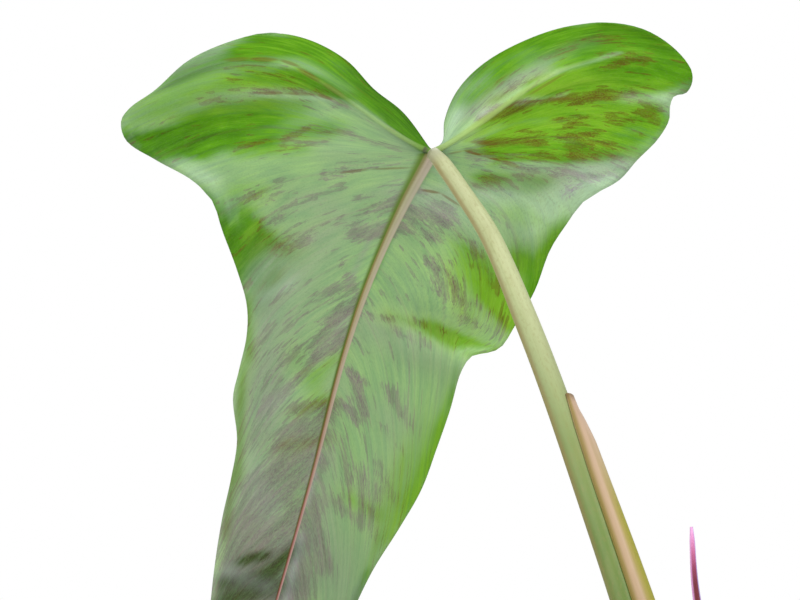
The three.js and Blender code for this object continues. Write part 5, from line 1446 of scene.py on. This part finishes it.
def stem(material):
    """The upright stem with a raised ring at each old leaf base and a rounded cap."""
    curve = spline([(0.4, 0.3, STEM_FOOT), (-0.5, 0.4, 120), (0, 0, STEM_TOP)])
    shape = ring(1, 56)

    def section(u):
        height = u * (STEM_TOP - STEM_FOOT)
        off_scar = abs((height + SCAR_SHIFT) % SCAR_SPACING - SCAR_SPACING / 2)
        scar = SCAR_RISE * math.exp(-((off_scar / SCAR_WIDTH) ** 2))
        cap = CAP_NARROWING * max(u - CAP_START, 0) / CAP_LENGTH
        lumps = uneven(shape, 0.25, lambda x, y: (3 * x, 3 * y, height * 0.12))
        return shape * ((STEM_RADIUS - STEM_TAPER * u + scar) * (1 - cap**2) + lumps - STEM_INSET)[:, None]

    dress(sweep("stem_ringed", curve, np.linspace(0, 1, 190), section), material, "stem", "stem")


def aerial_root(material, name, heading, k):
    """A root from the stem's side down into the soil."""
    turn = math.radians(heading)
    curve = spline([(r * math.cos(turn), r * math.sin(turn), z) for r, z in ROOT_PATH])
    shape = ring(1, 20)

    def section(u):
        lumps = uneven(shape, 0.16, lambda x, y: (2 * x + 9 * k, 2 * y, u * 26))
        return shape * (ROOT_RADIUS * (1 - ROOT_TAPER * u) + lumps)[:, None]

    root = sweep(f"aerial_root_{name}", curve, np.linspace(0.12, 1, 110), section)
    dress(root, material, "root", f"root_{name}")


# Light, floor and camera
def surround():
    """A white surround that the camera sees at full strength and that lights the plant at less."""
    world = bpy.data.worlds.new("studio")
    bpy.context.scene.world = world
    world.use_nodes = True
    nodes, links = world.node_tree.nodes, world.node_tree.links
    seen = nodes.new("ShaderNodeLightPath").outputs["Is Camera Ray"]
    strength = nodes.new("ShaderNodeMapRange")
    strength.inputs["To Min"].default_value = WORLD_LIGHT
    strength.inputs["To Max"].default_value = 1.0
    links.new(seen, strength.inputs["Value"])
    links.new(strength.outputs[0], nodes["Background"].inputs["Strength"])
    nodes["Background"].inputs["Color"].default_value = (1, 1, 1, 1)
    bpy.context.scene.view_settings.view_transform = "Standard"


def white_floor():
    """A floor in the open, just below the pot so that their faces don't coincide."""
    bpy.ops.mesh.primitive_plane_add(size=16, location=(0, 0, -0.0005))
    floor = bpy.context.object
    floor.name = "floor"
    floor.data.materials.append(Tree("floor").finish(srgb(244, 244, 242), 0.7))


def lamps():
    """Soft square lamps, each turned to the middle of the plant."""
    for name, place, size, power in LIGHTS:
        light = bpy.data.lights.new(name, "AREA")
        light.size, light.energy = size, power
        obj = bpy.data.objects.new(name, light)
        bpy.context.collection.objects.link(obj)
        obj.location = place
        obj.rotation_euler = (Vector(place) - Vector(LIGHT_AIM)).to_track_quat("Z", "Y").to_euler()


def camera():
    data = bpy.data.cameras.new("camera")
    data.lens, data.sensor_width, data.clip_start = CAMERA_LENS, 36, 0.01
    obj = bpy.data.objects.new("camera", data)
    bpy.context.collection.objects.link(obj)
    obj.location = CAMERA_PLACE
    obj.rotation_euler = (CAMERA_PITCH, 0, 0)
    bpy.context.scene.camera = obj


MATERIALS = {
    "blade": (blade_under_material(), blade_top_material()),
    "petiole": petiole_material(),
    "sheath": sheath_material(),
    "dry_sheath": dry_sheath_material(),
    "new_leaf": new_leaf_material(),
    "bark": bark_material(),
    "perlite": plain_material("perlite", (214, 208, 196), (240, 238, 230), 0.9, 900),
}
pot(clay_material())
soil_surface(soil_material())
bark_mix(MATERIALS)
stem(stem_material())
ROOT_MATERIAL = plain_material("root", (112, 92, 62), (168, 148, 108), 0.8, 1500)
for k, (name, heading) in enumerate(AERIAL_ROOTS):
    aerial_root(ROOT_MATERIAL, name, heading, k)
large_leaf(MATERIALS)
for leaf in OLDER_LEAVES:
    older_leaf(MATERIALS, **leaf)
surround()
white_floor()
lamps()
camera()
